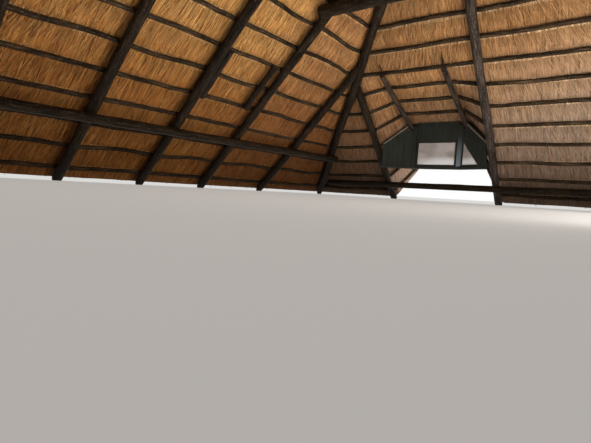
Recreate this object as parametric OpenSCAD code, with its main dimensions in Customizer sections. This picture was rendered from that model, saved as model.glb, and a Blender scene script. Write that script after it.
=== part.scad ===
// Thatched hip roof on a gum pole frame, with a low swept hood over the entrance.
// Origin: on the level that the rafter tails stand on, at the middle of the plan.
// X runs across the span, +Y runs along the ridge towards the hood, +Z is up.

/* [Roof shape] */
// Pitch of the four main slopes, in degrees
pitch = 45; // [40:0.5:50]
// Length of the ridge between the tops of the hips
ridge_len = 2710; // [2400:10:4200]
// Plan distance from the ridge to the cut ends of the rafters
tail_run = 3740; // [3650:5:3900]
// How far the straw hangs past the rafter ends, in plan
straw_hang = 130; // [80:5:180]
// Length of the level cut under each rafter tail
tail_seat = 57; // [40:1:70]

/* [Poles] */
// Diameter of the common, jack, king and hip rafters
rafter_d = 120; // [100:1:130]
// Diameter of the ridge pole
ridge_d = 110; // [90:1:130]
// Diameter of the collar beams
collar_d = 140; // [110:1:150]
// Height of the collar beams' centres
collar_z = 2280; // [2150:10:2500]
// Diameter of the short trimmer poles
trimmer_d = 90; // [70:1:100]
// Length of the short trimmer poles
trimmer_len = 730; // [500:10:900]
// Plan distance from the ridge to the trimmer poles' feet
trimmer_run = 2630; // [2550:5:2680]
// Distance between neighbouring common rafters
rafter_gap = 1120; // [1000:10:1250]
// Distance from the longer side jack to the shorter one
last_jack_gap = 1400; // [1250:10:1500]
// Number of common rafters on each side
commons = 2; // [2:1:3]

/* [Wall plates] */
// Diameter of the plate poles
plate_d = 120; // [100:1:140]
// Height of a plate pole above its sawn flat underside
plate_h = 105; // [90:1:110]
// Plan distance from the ridge to the side plates' centres
side_plate_run = 2902; // [2800:5:3000]
// Plan distance from the ridge end to the end plates' centres
end_plate_run = 3342; // [3250:5:3450]

/* [Battens and thatch] */
// Diameter of the thatching battens
batten_d = 50; // [38:1:55]
// Spacing of the battens along the slope
gauge = 359; // [330:1:380]
// Plan distance from the rafter ends to the lowest batten
first_batten = 27; // [20:1:60]
// Thickness of the straw coat
straw_t = 180; // [150:5:220]
// Height of the straw's underside over the battens' centres
straw_lift = 25; // [25:1:30]
// Thickness of the mortar ridge cap
cap_t = 55; // [35:1:80]
// Height of the ridge cap's skirt
cap_h = 270; // [200:5:400]

/* [Entrance hood] */
// Number of the batten row where the hood leaves the main slope
hood_row = 7; // [6:1:8]
// Pitch of the hood's flat middle, in degrees
hood_pitch = 25.5; // [22:0.5:30]
// Width of the flat middle of the hood
hood_mid_w = 1040; // [950:5:1100]
// Plan distance from the ridge end to the hood's straw edge
hood_run = 4265; // [4230:5:4400]
// Diameter of the hood's rafters
hood_rafter_d = 78; // [65:1:80]
// Diameter of the hood's outer beam
hood_beam_d = 100; // [80:1:110]
// Plan distance from the hood's straw edge in to its beam
hood_beam_in = 550; // [450:5:620]
// Distance that the hood's beam runs on past the bends of the battens
hood_beam_past = 50; // [0:5:60]
// Batten row, counted down from the hood's top, that the screen stands under
screen_row = 4; // [3:1:5]

/* [Boarded screen] */
// Thickness of the boarding
board_t = 28; // [20:1:40]
// Height from the screen's lower edge to the batten that it stands under
screen_h = 774; // [740:2:800]
// Side of the square posts at the screen's folds
post_w = 82; // [80:1:100]
// Height of the sill rail
sill_h = 45; // [35:1:60]
// Depth of the sill rail
sill_w = 90; // [75:1:110]
// Height of the lights
light_h = 400; // [300:5:430]
// Distance from the sill rail to the lights
light_up = 20; // [15:1:60]
// Width of board between a post and the square light
light_in = 24; // [15:1:60]
// Width of the triangular light
corner_light_w = 345; // [200:5:360]
// Thickness of the glass
glass_t = 6; // [4:1:8]

/* [Hidden] */

big = 9000;
t = tan(pitch);
th = tan(hood_pitch);
rb = batten_d / 2;
rr = rafter_d / 2;
rs = hood_rafter_d / 2;
half_ridge = ridge_len / 2;
edge_run = tail_run + straw_hang;

// Heights: the batten plane is the plane through the battens' centres
apex = (tail_run - tail_seat) * t + (rb + rafter_d) / cos(pitch);
rafter_drop = (rb + rr) / cos(pitch);
ridge_z = apex - rafter_drop - (rr + ridge_d / 2) / cos(pitch);
straw_in = straw_lift / cos(pitch);
straw_out = (straw_lift + straw_t) / cos(pitch);

// Batten rows: row 0 is the lowest, d is the plan distance from the ridge
step = gauge * cos(pitch);
function row_d(j) = tail_run - first_batten - j * step;
rows = floor((tail_run - first_batten - 1.6 * batten_d) / step);
function plane_z(d) = apex - d * t;

// The hood springs from the hip. Its columns are the jack rafter, the two lines where
// its battens bend, and the king rafter
hood_d = row_d(hood_row);
hood_w = hood_d;
hood_z = plane_z(hood_d);
hood_step = gauge * cos(hood_pitch);
hood_rows = min(hood_row, floor((hood_run - hood_d - batten_d) / hood_step));
function flat_z(d) = hood_z - (d - hood_d) * th;
side_w = (hood_w - hood_mid_w) / 2;
column_x = [-hood_w, -hood_w + side_w, -side_w, 0];
steep = [true, false, false, true];
hood_drop = (rb + rs) / cos(hood_pitch);
hood_beam_run = hood_run - hood_beam_in;
hood_beam_z = flat_z(hood_beam_run)
  - (rb + hood_rafter_d + hood_beam_d / 2) / cos(hood_pitch);

// Reach of the roof each way along Y, so that the origin is at the middle of the plan
near_reach = half_ridge + edge_run + straw_t * sin(pitch);
far_reach = half_ridge + hood_run + straw_t * sin(hood_pitch);
mid_y = (near_reach - far_reach) / 2;

function hood_point(c, d_steep, d_flat) = steep[c]
  ? [column_x[c], half_ridge + d_steep, plane_z(d_steep)]
  : [column_x[c], half_ridge + d_flat, flat_z(d_flat)];
function hood_node(c, k) = hood_point(c, hood_d + k * step, hood_d + k * hood_step);

// Angle through which a hood batten bends at a column, k rows down from the hood's top
function bend(k) = let(v = hood_node(1, k) - hood_node(0, k)) acos(v[0] / norm(v));

// The hood's rafters lie inside the bends, so that the battens rest on their shoulders
shoulder = (rb + rs) * tan(bend(hood_rows) / 2);
rafter_x = [column_x[1] + shoulder, column_x[2] - shoulder];

// Gap where the ends of two battens meet
butt_gap = 3;

bark = [0.16, 0.13, 0.11];
straw = [0.72, 0.52, 0.27];
mortar = [0.62, 0.60, 0.56];
boards = [0.12, 0.14, 0.13];

// Round pole between two points
module pole(p, q, d) {
  v = q - p;
  length = norm(v);
  translate(p)
    rotate([0, acos(v[2] / length), atan2(v[1], v[0])])
      cylinder(h = length, d = d, $fn = 40);
}

// Vertical prism over a plan outline
module over(outline) {
  linear_extrude(height = apex + big / 9)
    polygon(outline);
}

// Plan of the left slope, kept back from the hips by a distance
function left_plan(back) = let(b = back * sqrt(2)) [
  [0, b - half_ridge], [-big, b - half_ridge - big],
  [-big, half_ridge + big - b], [0, half_ridge - b]];

// Plan of the far slope, kept back from the hips by a distance
function far_plan(back) = let(b = back * sqrt(2)) [
  [0, half_ridge + b], [-big, half_ridge + b + big], [big, half_ridge + b + big]];

// Plan between the ridge and the line of the rafter ends
module tail_limit() {
  translate([-tail_run, -half_ridge - tail_run, 0])
    cube([2 * tail_run, ridge_len + 2 * tail_run, apex + straw_out]);
}

// One rafter of the left slope, at a place along the ridge
module side_rafter(y, back) {
  z0 = apex - rafter_drop;
  intersection() {
    pole([rafter_d, y, z0 + rafter_d * t], [-edge_run, y, z0 - edge_run * t], rafter_d);
    tail_limit();
    over(left_plan(back));
  }
}

// One rafter of the far slope, at a place across it
module end_rafter(x, outline) {
  z0 = apex - rafter_drop;
  y0 = half_ridge;
  intersection() {
    pole([x, y0 - rafter_d, z0 + rafter_d * t], [x, y0 + edge_run, z0 - edge_run * t],
         rafter_d);
    tail_limit();
    over(outline);
  }
}

// Far left hip rafter, cut plumb where it meets the king rafter and the other hip
module hip_rafter() {
  z0 = apex - rafter_drop;
  y0 = half_ridge;
  intersection() {
    pole([rafter_d, y0 - rafter_d, z0 + rafter_d * t],
         [-edge_run, y0 + edge_run, z0 - edge_run * t], rafter_d);
    tail_limit();
    over([[0, y0], [-big * tan(22.5), y0 + big], [-big, y0 + big], [-big, y0]]);
  }
}

module king_rafter() {
  y0 = half_ridge;
  spread = big * tan(22.5);
  end_rafter(0, [[0, y0], [-spread, y0 + big], [spread, y0 + big]]);
}

first_common = (commons - 1) * rafter_gap / 2;
long_jack = first_common + rafter_gap;
short_jack = long_jack + last_jack_gap;

module common_rafters() {
  for (i = [0 : commons - 1])
    side_rafter(first_common - i * rafter_gap, 0);
}

// The two jacks of the left slope and the one of the far slope, at the far left hip
module jack_rafters() {
  side_rafter(long_jack, rr);
  side_rafter(short_jack, rr);
  end_rafter(-hood_w, far_plan(rr));
}

// Collar beams, bolted to the inner side of each pair of rafters
collar_reach = (apex - rafter_drop - collar_z) / t;
collar_side = rr + collar_d / 2;
module collar_beams() {
  for (s = [-1, 1], y = [long_jack, long_jack - rafter_gap])
    translate([-collar_reach, s * (y - collar_side), collar_z])
      rotate([0, 90, 0])
        cylinder(h = 2 * collar_reach, d = collar_d, $fn = 40);
}

// Short poles that double the rafters over the head of the side wall's opening
module trimmer_poles() {
  dz = (rb + trimmer_d / 2) / cos(pitch);
  high = trimmer_run - trimmer_len * cos(pitch);
  for (y = [long_jack - rafter_d - trimmer_d, long_jack - rafter_gap + rr + trimmer_d / 2])
    pole([-trimmer_run, y, plane_z(trimmer_run) - dz], [-high, y, plane_z(high) - dz],
         trimmer_d);
}

// Plate pole along X, with a sawn flat underside, its centre at the origin
module plate_pole(length) {
  intersection() {
    translate([-length / 2, 0, 0])
      rotate([0, 90, 0])
        cylinder(h = length, d = plate_d, $fn = 40);
    translate([-length / 2, -plate_d / 2, plate_d / 2 - plate_h])
      cube([length, plate_d, plate_h]);
  }
}

function plate_z(run) = plane_z(run) - (rb + rafter_d + plate_d / 2) / cos(pitch);
side_plate_z = plate_z(side_plate_run);
end_plate_z = plate_z(end_plate_run);
hip_clear = rr + plate_d / 2;

module side_plate() {
  translate([-side_plate_run, 0, side_plate_z])
    rotate([0, 0, 90])
      plate_pole(ridge_len + 2 * side_plate_run + 2 * hip_clear);
}

module end_plate() {
  translate([0, half_ridge + end_plate_run, end_plate_z])
    plate_pole(2 * end_plate_run - 2 * hip_clear);
}

// The ridge pole reaches to the undersides of the king rafters
module ridge_pole() {
  seat = apex - rafter_drop - rr / cos(pitch) - ridge_z - ridge_d / 2;
  reach = half_ridge + seat / t;
  translate([0, -reach, ridge_z])
    rotate([-90, 0, 0])
      cylinder(h = 2 * reach, d = ridge_d, $fn = 40);
}

// Battens of the left slope, mitred at the hips
module side_battens() {
  for (j = [0 : rows]) {
    reach = half_ridge + row_d(j) + rb;
    intersection() {
      translate([-row_d(j), -reach, plane_z(row_d(j))])
        rotate([-90, 0, 0])
          cylinder(h = 2 * reach, d = batten_d, $fn = 24);
      over(left_plan(butt_gap / 2));
    }
  }
}

// One batten of an end slope between two places across it, mitred at the hips
module end_batten(j, x0, x1) {
  intersection() {
    translate([x0, half_ridge + row_d(j), plane_z(row_d(j))])
      rotate([0, 90, 0])
        cylinder(h = x1 - x0, d = batten_d, $fn = 24);
    over(far_plan(butt_gap / 2));
  }
}

module end_battens(from) {
  for (j = [from : rows])
    end_batten(j, -row_d(j) - rb, row_d(j) + rb);
}

// Below the hood's top the far slope's battens stop at the jack and king rafters
module far_battens() {
  end_battens(hood_row);
  for (j = [0 : hood_row - 1]) {
    end_batten(j, -row_d(j) - rb, -hood_w - butt_gap / 2);
    end_batten(j, butt_gap / 2, row_d(j) + rb);
  }
}

// Upright slice of space between two places across the hood
module between(x0, x1) {
  translate([x0, half_ridge, 0])
    cube([x1 - x0, big, apex + straw_out]);
}

// Hood battens run from column to column, cut plumb, the leaning ones clear of the bends
module hood_battens() {
  for (k = [1 : hood_rows], c = [0 : 2]) {
    p = hood_node(c, k);
    q = hood_node(c + 1, k);
    past = (q - p) / norm(q - p) * batten_d;
    gap = butt_gap / 2 + (c == 1 ? 0 : rb * tan(bend(k) / 2));
    intersection() {
      pole(p - past, q + past, batten_d);
      between(p[0] + gap, q[0] - gap);
    }
  }
}

// One of the hood's own rafters, from the top batten to beyond the straw's edge
module hood_pole(x, d) {
  head = hood_d - rs;
  past = hood_run + hood_rafter_d;
  pole([x, half_ridge + head, flat_z(head) - hood_drop],
       [x, half_ridge + past, flat_z(past) - hood_drop], d);
}

// The hood's rafters are cut plumb just inside the straw's edge
module hood_rafters() {
  tail = hood_run - straw_hang / 2;
  for (x = rafter_x)
    intersection() {
      hood_pole(x, hood_rafter_d);
      translate([-hood_w, 0, 0])
        cube([hood_w, half_ridge + tail, apex]);
    }
}

module hood_beam() {
  x0 = column_x[1] - hood_beam_past;
  x1 = column_x[2] + hood_beam_past;
  translate([x0, half_ridge + hood_beam_run, hood_beam_z])
    rotate([0, 90, 0])
      cylinder(h = x1 - x0, d = hood_beam_d, $fn = 40);
}

// Section of the straw coat from the ridge to the square-cut eave, in plan distance and height
straw_section = [
  [0, apex + straw_in],
  [edge_run, plane_z(edge_run) + straw_in],
  [edge_run + straw_t * sin(pitch), plane_z(edge_run) + straw_in + straw_t * cos(pitch)],
  [0, apex + straw_out]];

module end_straw(outline) {
  intersection() {
    translate([-big, half_ridge, 0])
      rotate([90, 0, 90])
        linear_extrude(height = 2 * big)
          polygon(straw_section);
    over(outline);
  }
}

module side_thatch() {
  intersection() {
    translate([0, -big, 0])
      mirror([1, 0, 0])
        rotate([90, 0, 0])
          mirror([0, 0, 1])
            linear_extrude(height = 2 * big)
              polygon(straw_section);
    over(left_plan(0));
  }
}

module thatch_far_top() {
  end_straw([[0, half_ridge], [-hood_d, half_ridge + hood_d], [hood_d, half_ridge + hood_d]]);
}

module thatch_far_left() {
  y0 = half_ridge;
  end_straw([[-hood_w, y0 + hood_w], [-big, y0 + big], [-hood_w, y0 + big]]);
}

module thatch_far_right() {
  y0 = half_ridge;
  end_straw([[0, y0 + hood_d], [hood_d, y0 + hood_d], [big, y0 + big], [0, y0 + big]]);
}

// Sections of the hood's straw: two to a batten row, and the cut edge as the last
sections = 2 * hood_rows + 1;
steep_rows = (edge_run - hood_d) / step;
flat_rows = (hood_run - hood_d) / hood_step;
function share(c, i) = i == sections ? 1 : i / 2 / (steep[c] ? steep_rows : flat_rows);
function section_bend(i) = bend(i == sections ? flat_rows : i / 2);

// Underside and top of the straw on a column's line, at a section
function straw_low(c, i) = let(
  s = share(c, i),
  p = hood_point(c, hood_d + s * (edge_run - hood_d), hood_d + s * (hood_run - hood_d)))
  p + [0, 0, steep[c] ? straw_in : straw_in * (1 - s) + s * straw_lift / cos(hood_pitch)];
function straw_edge(c) = let(a = steep[c] ? pitch : hood_pitch)
  straw_low(c, sections) + [0, straw_t * sin(a), straw_t * cos(a)];
function straw_high(c, i) = let(s = share(c, i))
  (1 - s) * (straw_low(c, 0) + [0, 0, straw_out - straw_in]) + s * straw_edge(c);

// How far the bends of the straw's underside and top lie outside those of the battens
function low_out(i) = [straw_lift * tan(section_bend(i) / 2), 0, 0];
function high_out(i) = [(straw_lift + straw_t) * tan(section_bend(i) / 2), 0, 0];

// Section of the right bay: its top sweeps over the valley onto the far slope's straw
function side_ring(i) = let(
  valley = straw_low(3, i) + low_out(i),
  crest = straw_low(2, i) + low_out(i),
  seam = valley + (crest - valley) * valley[0] / (valley[0] - crest[0]))
  [crest, seam, straw_high(3, i), straw_high(3, i) + high_out(i),
   straw_high(2, i) + high_out(i)];

function middle_ring(i) = [
  straw_low(1, i) - low_out(i), straw_low(2, i) + low_out(i),
  straw_high(2, i) + high_out(i), straw_high(1, i) - high_out(i)];

// Solid through sections of equal count. The side after the turned corner has its
// diagonals the other way, and the pinched corner starts from the corner before it
module swept(rings, turned, pinched) {
  n = len(rings[0]);
  last = (len(rings) - 1) * n;
  function at(i, k) = i == 0 && k == pinched ? k - 1 : i * n + k % n;
  function side(a, b, c, d, k) = k == turned ? [[a, b, d], [a, d, c]] : [[a, b, c], [b, d, c]];
  sides = [for (i = [0 : len(rings) - 2], k = [0 : n - 1])
    each side(at(i, k), at(i, k + 1), at(i + 1, k), at(i + 1, k + 1), k)];
  polyhedron([for (r = rings) each r], concat(
    [[for (k = [n - 1 : -1 : 0]) if (k != pinched) k]],
    [for (f = sides) if (f[0] != f[1]) f],
    [for (k = [1 : n - 2]) [last, last + k, last + k + 1]]));
}

module hood_side_bay() {
  swept([for (i = [0 : sections]) side_ring(i)], -1, 3);
}

module hood_middle_bay() {
  swept([for (i = [0 : sections]) middle_ring(i)], 1, -1);
}

// The hood's left half is its right half mirrored
module mirrored_hood() {
  translate([-hood_w, 0, 0])
    mirror([1, 0, 0])
      children();
}

// Hipped mass up to the straw's outer surface, raised by a lift
module hipped_mass(lift) {
  top = apex + straw_out + lift;
  intersection() {
    translate([0, big, 0])
      rotate([90, 0, 0])
        linear_extrude(height = 2 * big)
          polygon([[0, top], [-top / t, 0], [top / t, 0]]);
    translate([-big, 0, 0])
      rotate([90, 0, 90])
        linear_extrude(height = 2 * big)
          polygon([[half_ridge, top], [half_ridge + top / t, 0],
                   [-half_ridge - top / t, 0], [-half_ridge, top]]);
  }
}

module ridge_cap() {
  lift = cap_t / cos(pitch);
  floor_z = apex + straw_out - cap_h;
  difference() {
    hipped_mass(lift);
    hipped_mass(0);
    translate([-big, -big, -big + floor_z])
      cube([2 * big, 2 * big, big]);
  }
}

// The screen stands just inside the battens of its row. Its folds are at its posts, which
// stand beside the hood's rafters and carry the batten
board_back = rb + board_t / 2;
row_end = hood_node(3, screen_row);
row_mid = hood_node(2, screen_row);
lean = atan2(row_mid[1] - row_end[1], side_w);
board_y = row_mid[1] - board_back;
king_y = row_end[1] - board_back / cos(lean);
post_x = [rafter_x[0] + rs + post_w / 2, rafter_x[1] - rs - post_w / 2];
fold_x = post_x[1];
fold = atan2(board_y - king_y, -fold_x);
side_x = post_x[1] + post_w / 2;
screen_z = row_mid[2] - screen_h;
panel_z = screen_z + sill_h;
mid_x = post_x[0] + post_w / 2;
mid_len = post_x[1] - post_x[0] - post_w;
light_w = mid_len - 2 * light_in;
side_len = -fold_x / cos(fold);
mid_top = row_mid[2] + rb * th + straw_lift / cos(hood_pitch) - butt_gap;
side_fall = (row_mid[2] - row_end[2]) * cos(fold) / side_w;
batten_from = -(side_w + fold_x) / cos(fold);

// Height of a side panel's top edge at a distance from the fold. It follows the middle of
// the batten, which shows above it
function side_top(u) = row_mid[2] - (u - batten_from) * side_fall;

module middle_outline() {
  difference() {
    square([mid_len, mid_top - panel_z]);
    translate([light_in, light_up])
      square([light_w, light_h]);
  }
}

module side_outline() {
  polygon([[0, 0], [side_len, 0], [side_len, side_top(side_len) - panel_z],
           [0, side_top(0) - panel_z]]);
}

// Triangular light, beside the post
module corner_light() {
  translate([(side_x - fold_x) / cos(fold) + light_up, light_up])
    polygon([[0, 0], [corner_light_w, 0], [0, light_h]]);
}

// Stands a panel that is drawn flat upright on the sill, at a place and an angle
module stand(x, angle, thick) {
  translate([x, board_y, panel_z])
    rotate([0, 0, angle])
      translate([0, thick / 2, 0])
        rotate([90, 0, 0])
          linear_extrude(height = thick)
            children();
}

module screen_middle() {
  stand(mid_x, 0, board_t)
    middle_outline();
}

// Space that a side panel leaves for the hood's rafter and what is above it
module rafter_notch() {
  d = hood_rafter_d + butt_gap;
  hood_pole(rafter_x[1], d);
  translate([rafter_x[1] - d / 2, half_ridge, flat_z(board_y - half_ridge) - hood_drop])
    cube([d, hood_run, hood_rafter_d + mid_top]);
}

// Side panel between the post and the king rafter, scribed round the hood's rafter
module side_panel() {
  difference() {
    intersection() {
      stand(fold_x, -fold, board_t)
        children();
      between(side_x, -rr);
    }
    rafter_notch();
  }
}

module screen_right() {
  side_panel()
    difference() {
      side_outline();
      corner_light();
    }
}

module screen_left() {
  mirrored_hood()
    side_panel()
      side_outline();
}

module screen_posts() {
  for (x = post_x)
    translate([x - post_w / 2, board_y - post_w / 2, panel_z])
      cube([post_w, post_w, row_mid[2] - rb - panel_z]);
}

// Sill rail, mitred at the folds and cut square beside the jack and king rafters
module screen_sill() {
  w = sill_w / 2;
  mitre = w * tan(fold / 2);
  slant = w / cos(fold);
  end_y = board_y + (fold_x + rr) * tan(fold);
  left_x = -hood_w - fold_x;
  translate([0, 0, screen_z])
    linear_extrude(height = sill_h)
      polygon([
        [rr - hood_w, end_y + slant], [left_x - mitre, board_y + w],
        [fold_x + mitre, board_y + w], [-rr, end_y + slant],
        [-rr, end_y - slant], [fold_x - mitre, board_y - w],
        [left_x + mitre, board_y - w], [rr - hood_w, end_y - slant]]);
}

module screen_glass() {
  stand(mid_x, 0, glass_t)
    translate([light_in, light_up])
      square([light_w, light_h]);
  stand(fold_x, -fold, glass_t)
    corner_light();
}

module placed() {
  translate([0, mid_y, 0])
    children();
}

module mirrored_x() {
  mirror([1, 0, 0])
    children();
}

module mirrored_y() {
  mirror([0, 1, 0])
    children();
}

placed() color(bark) side_plate();  // plate_left
placed() color(bark) mirrored_x() side_plate();  // plate_right
placed() color(bark) end_plate();  // plate_far
placed() color(bark) mirrored_y() end_plate();  // plate_near
placed() color(bark) ridge_pole();
placed() color(bark) hip_rafter();  // hip_rafter_far_left
placed() color(bark) mirrored_x() hip_rafter();  // hip_rafter_far_right
placed() color(bark) mirrored_y() hip_rafter();  // hip_rafter_near_left
placed() color(bark) mirrored_y() mirrored_x() hip_rafter();  // hip_rafter_near_right
placed() color(bark) common_rafters();  // common_rafters_left
placed() color(bark) mirrored_x() common_rafters();  // common_rafters_right
placed() color(bark) jack_rafters();  // jack_rafters_far_left
placed() color(bark) mirrored_x() jack_rafters();  // jack_rafters_far_right
placed() color(bark) mirrored_y() jack_rafters();  // jack_rafters_near_left
placed() color(bark) mirrored_y() mirrored_x() jack_rafters();  // jack_rafters_near_right
placed() color(bark) king_rafter();  // king_rafter_far
placed() color(bark) mirrored_y() king_rafter();  // king_rafter_near
placed() color(bark) collar_beams();
placed() color(bark) trimmer_poles();
placed() color(bark) hood_rafters();
placed() color(bark) hood_beam();
placed() color(bark) side_battens();  // battens_left
placed() color(bark) mirrored_x() side_battens();  // battens_right
placed() color(bark) far_battens();  // battens_far
placed() color(bark) mirrored_y() end_battens(0);  // battens_near
placed() color(bark) hood_battens();
placed() color(straw) side_thatch();  // thatch_left
placed() color(straw) mirrored_x() side_thatch();  // thatch_right
placed() color(straw) mirrored_y() end_straw(far_plan(0));  // thatch_near
placed() color(straw) thatch_far_top();
placed() color(straw) thatch_far_left();
placed() color(straw) thatch_far_right();
placed() color(straw) mirrored_hood() hood_side_bay();  // hood_thatch_left
placed() color(straw) hood_middle_bay();  // hood_thatch_middle
placed() color(straw) hood_side_bay();  // hood_thatch_right
placed() color(mortar) ridge_cap();
placed() color(boards) screen_left();
placed() color(boards) screen_middle();
placed() color(boards) screen_right();
placed() color(boards) screen_posts();
placed() color(boards) screen_sill();
placed() color("lightblue") screen_glass();
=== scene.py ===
import math

import bmesh
import bpy
import numpy as np
from mathutils import Matrix, Vector


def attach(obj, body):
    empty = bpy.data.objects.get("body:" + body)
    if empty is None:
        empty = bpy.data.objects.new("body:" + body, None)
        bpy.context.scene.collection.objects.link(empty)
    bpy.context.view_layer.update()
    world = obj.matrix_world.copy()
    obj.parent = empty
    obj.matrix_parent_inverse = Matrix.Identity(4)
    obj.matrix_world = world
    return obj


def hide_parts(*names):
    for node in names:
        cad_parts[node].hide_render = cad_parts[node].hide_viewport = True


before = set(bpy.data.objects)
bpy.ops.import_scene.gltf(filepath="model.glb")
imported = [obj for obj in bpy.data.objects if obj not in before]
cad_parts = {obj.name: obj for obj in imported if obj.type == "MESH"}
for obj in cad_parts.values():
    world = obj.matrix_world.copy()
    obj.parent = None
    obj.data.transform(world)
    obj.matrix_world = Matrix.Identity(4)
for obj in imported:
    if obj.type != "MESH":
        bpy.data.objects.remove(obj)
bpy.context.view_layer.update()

# Driving sizes of the roof, in metres and radians
PITCH = math.radians(45)
HOOD_PITCH = math.radians(25.5)
RIDGE = 2.710
TAIL_RUN = 3.740
STRAW_HANG = 0.130
TAIL_SEAT = 0.057
RAFTER = 0.120
RIDGE_POLE = 0.110
COLLAR = 0.140
COLLAR_Z = 2.280
TRIMMER = 0.090
TRIMMER_LEN = 0.730
TRIMMER_RUN = 2.630
RAFTER_GAP = 1.120
LAST_JACK_GAP = 1.400
PLATE = 0.120
PLATE_H = 0.105
SIDE_PLATE_RUN = 2.902
END_PLATE_RUN = 3.342
BATTEN = 0.050
GAUGE = 0.359
FIRST_BATTEN = 0.027
STRAW_T = 0.180
STRAW_LIFT = 0.025
CAP_T = 0.055
CAP_H = 0.270
HOOD_ROW = 7
HOOD_MID_W = 1.040
HOOD_RUN = 4.265
HOOD_RAFTER = 0.078
HOOD_BEAM = 0.100
HOOD_BEAM_IN = 0.550
HOOD_BEAM_PAST = 0.050
SCREEN_ROW = 4
BOARD_T = 0.028
SCREEN_H = 0.774
POST_W = 0.082
SILL_H = 0.045
LIGHT_H = 0.400
LIGHT_UP = 0.020
LIGHT_IN = 0.024
CORNER_LIGHT_W = 0.345

# Sizes that follow from them
T, SIN, COS = math.tan(PITCH), math.sin(PITCH), math.cos(PITCH)
TH, SIN_H, COS_H = math.tan(HOOD_PITCH), math.sin(HOOD_PITCH), math.cos(HOOD_PITCH)
RB = BATTEN / 2
RR = RAFTER / 2
RS = HOOD_RAFTER / 2
HALF = RIDGE / 2
EDGE_RUN = TAIL_RUN + STRAW_HANG
APEX = (TAIL_RUN - TAIL_SEAT) * T + (RB + RAFTER) / COS
RAFTER_APEX = APEX - (RB + RR) / COS
STEP = GAUGE * COS
ROWS = int((TAIL_RUN - FIRST_BATTEN - 1.6 * BATTEN) / STEP)
HOOD_D = TAIL_RUN - FIRST_BATTEN - HOOD_ROW * STEP
HOOD_W = HOOD_D
HOOD_Z = APEX - HOOD_D * T
HOOD_STEP = GAUGE * COS_H
SIDE_W = (HOOD_W - HOOD_MID_W) / 2
COLUMN_X = (-HOOD_W, -HOOD_W + SIDE_W, -SIDE_W, 0.0)
HOOD_DROP = (RB + RS) / COS_H
MID_Y = (STRAW_T * SIN + EDGE_RUN - HOOD_RUN - STRAW_T * SIN_H) / 2

# The camera, found from the lines of the photograph
IMAGE_W = 591
FOCAL_PX = 445.06
CAMERA_AT = (1.818, -3.3026, 0.06)
CAMERA_YAW = math.radians(36.830)
CAMERA_PITCH = math.radians(4.070)
CAMERA_ROLL = math.radians(3.401)


def row_d(j):
    """Plan distance from the ridge to a batten row, 0 the lowest."""
    return TAIL_RUN - FIRST_BATTEN - j * STEP


def plane_z(d):
    """Height of the main slopes' batten plane at a plan distance."""
    return APEX - d * T


def flat_z(d):
    """Height of the flat middle of the hood at a plan distance."""
    return HOOD_Z - (d - HOOD_D) * TH


def hood_node(column, k):
    """Where hood batten row k, counted down from the hood's top, crosses a column."""
    steep = column in (0, 3)
    d = HOOD_D + k * (STEP if steep else HOOD_STEP)
    return np.array([COLUMN_X[column], HALF + d, plane_z(d) if steep else flat_z(d)])


def bend(k):
    """Angle through which hood batten row k bends at a column."""
    v = hood_node(1, k) - hood_node(0, k)
    return math.acos(min(1.0, v[0] / np.linalg.norm(v)))


SHOULDER = (RB + RS) * math.tan(bend(HOOD_ROW) / 2)
RAFTER_X = (COLUMN_X[1] + SHOULDER, COLUMN_X[2] - SHOULDER)


def placed(points):
    """Roof places have their origin at the middle of the ridge; the part's is at mid plan."""
    return np.asarray(points, float) + [0, MID_Y, 0]


def unit(v):
    """Vectors at length 1."""
    return v / np.linalg.norm(v, axis=-1, keepdims=True)


def smooth_step(x):
    """Eases from 0 to 1."""
    x = np.clip(x, 0, 1)
    return x * x * (3 - 2 * x)


FIELD_CELLS = (97, 89)
FIELD_START = 8.5


class Field:
    """Smooth random values over a plane, from -1 to 1, the same each run."""

    def __init__(self, seed, cell_u, cell_v):
        self.values = np.random.default_rng(seed).uniform(-1, 1, FIELD_CELLS)
        self.cell = (cell_u, cell_v)

    def pick(self, i, j):
        return self.values[i % FIELD_CELLS[0], j % FIELD_CELLS[1]]

    def __call__(self, u, v):
        p, q = (np.asarray(x) / cell + n * FIELD_START
                for x, cell, n in zip((u, v), self.cell, FIELD_CELLS))
        i, j = np.floor(p).astype(int), np.floor(q).astype(int)
        a, b = smooth_step(p - i), smooth_step(q - j)
        top = self.pick(i, j) * (1 - a) + self.pick(i + 1, j) * a
        low = self.pick(i, j + 1) * (1 - a) + self.pick(i + 1, j + 1) * a
        return top * (1 - b) + low * b


# Mesh making

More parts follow.
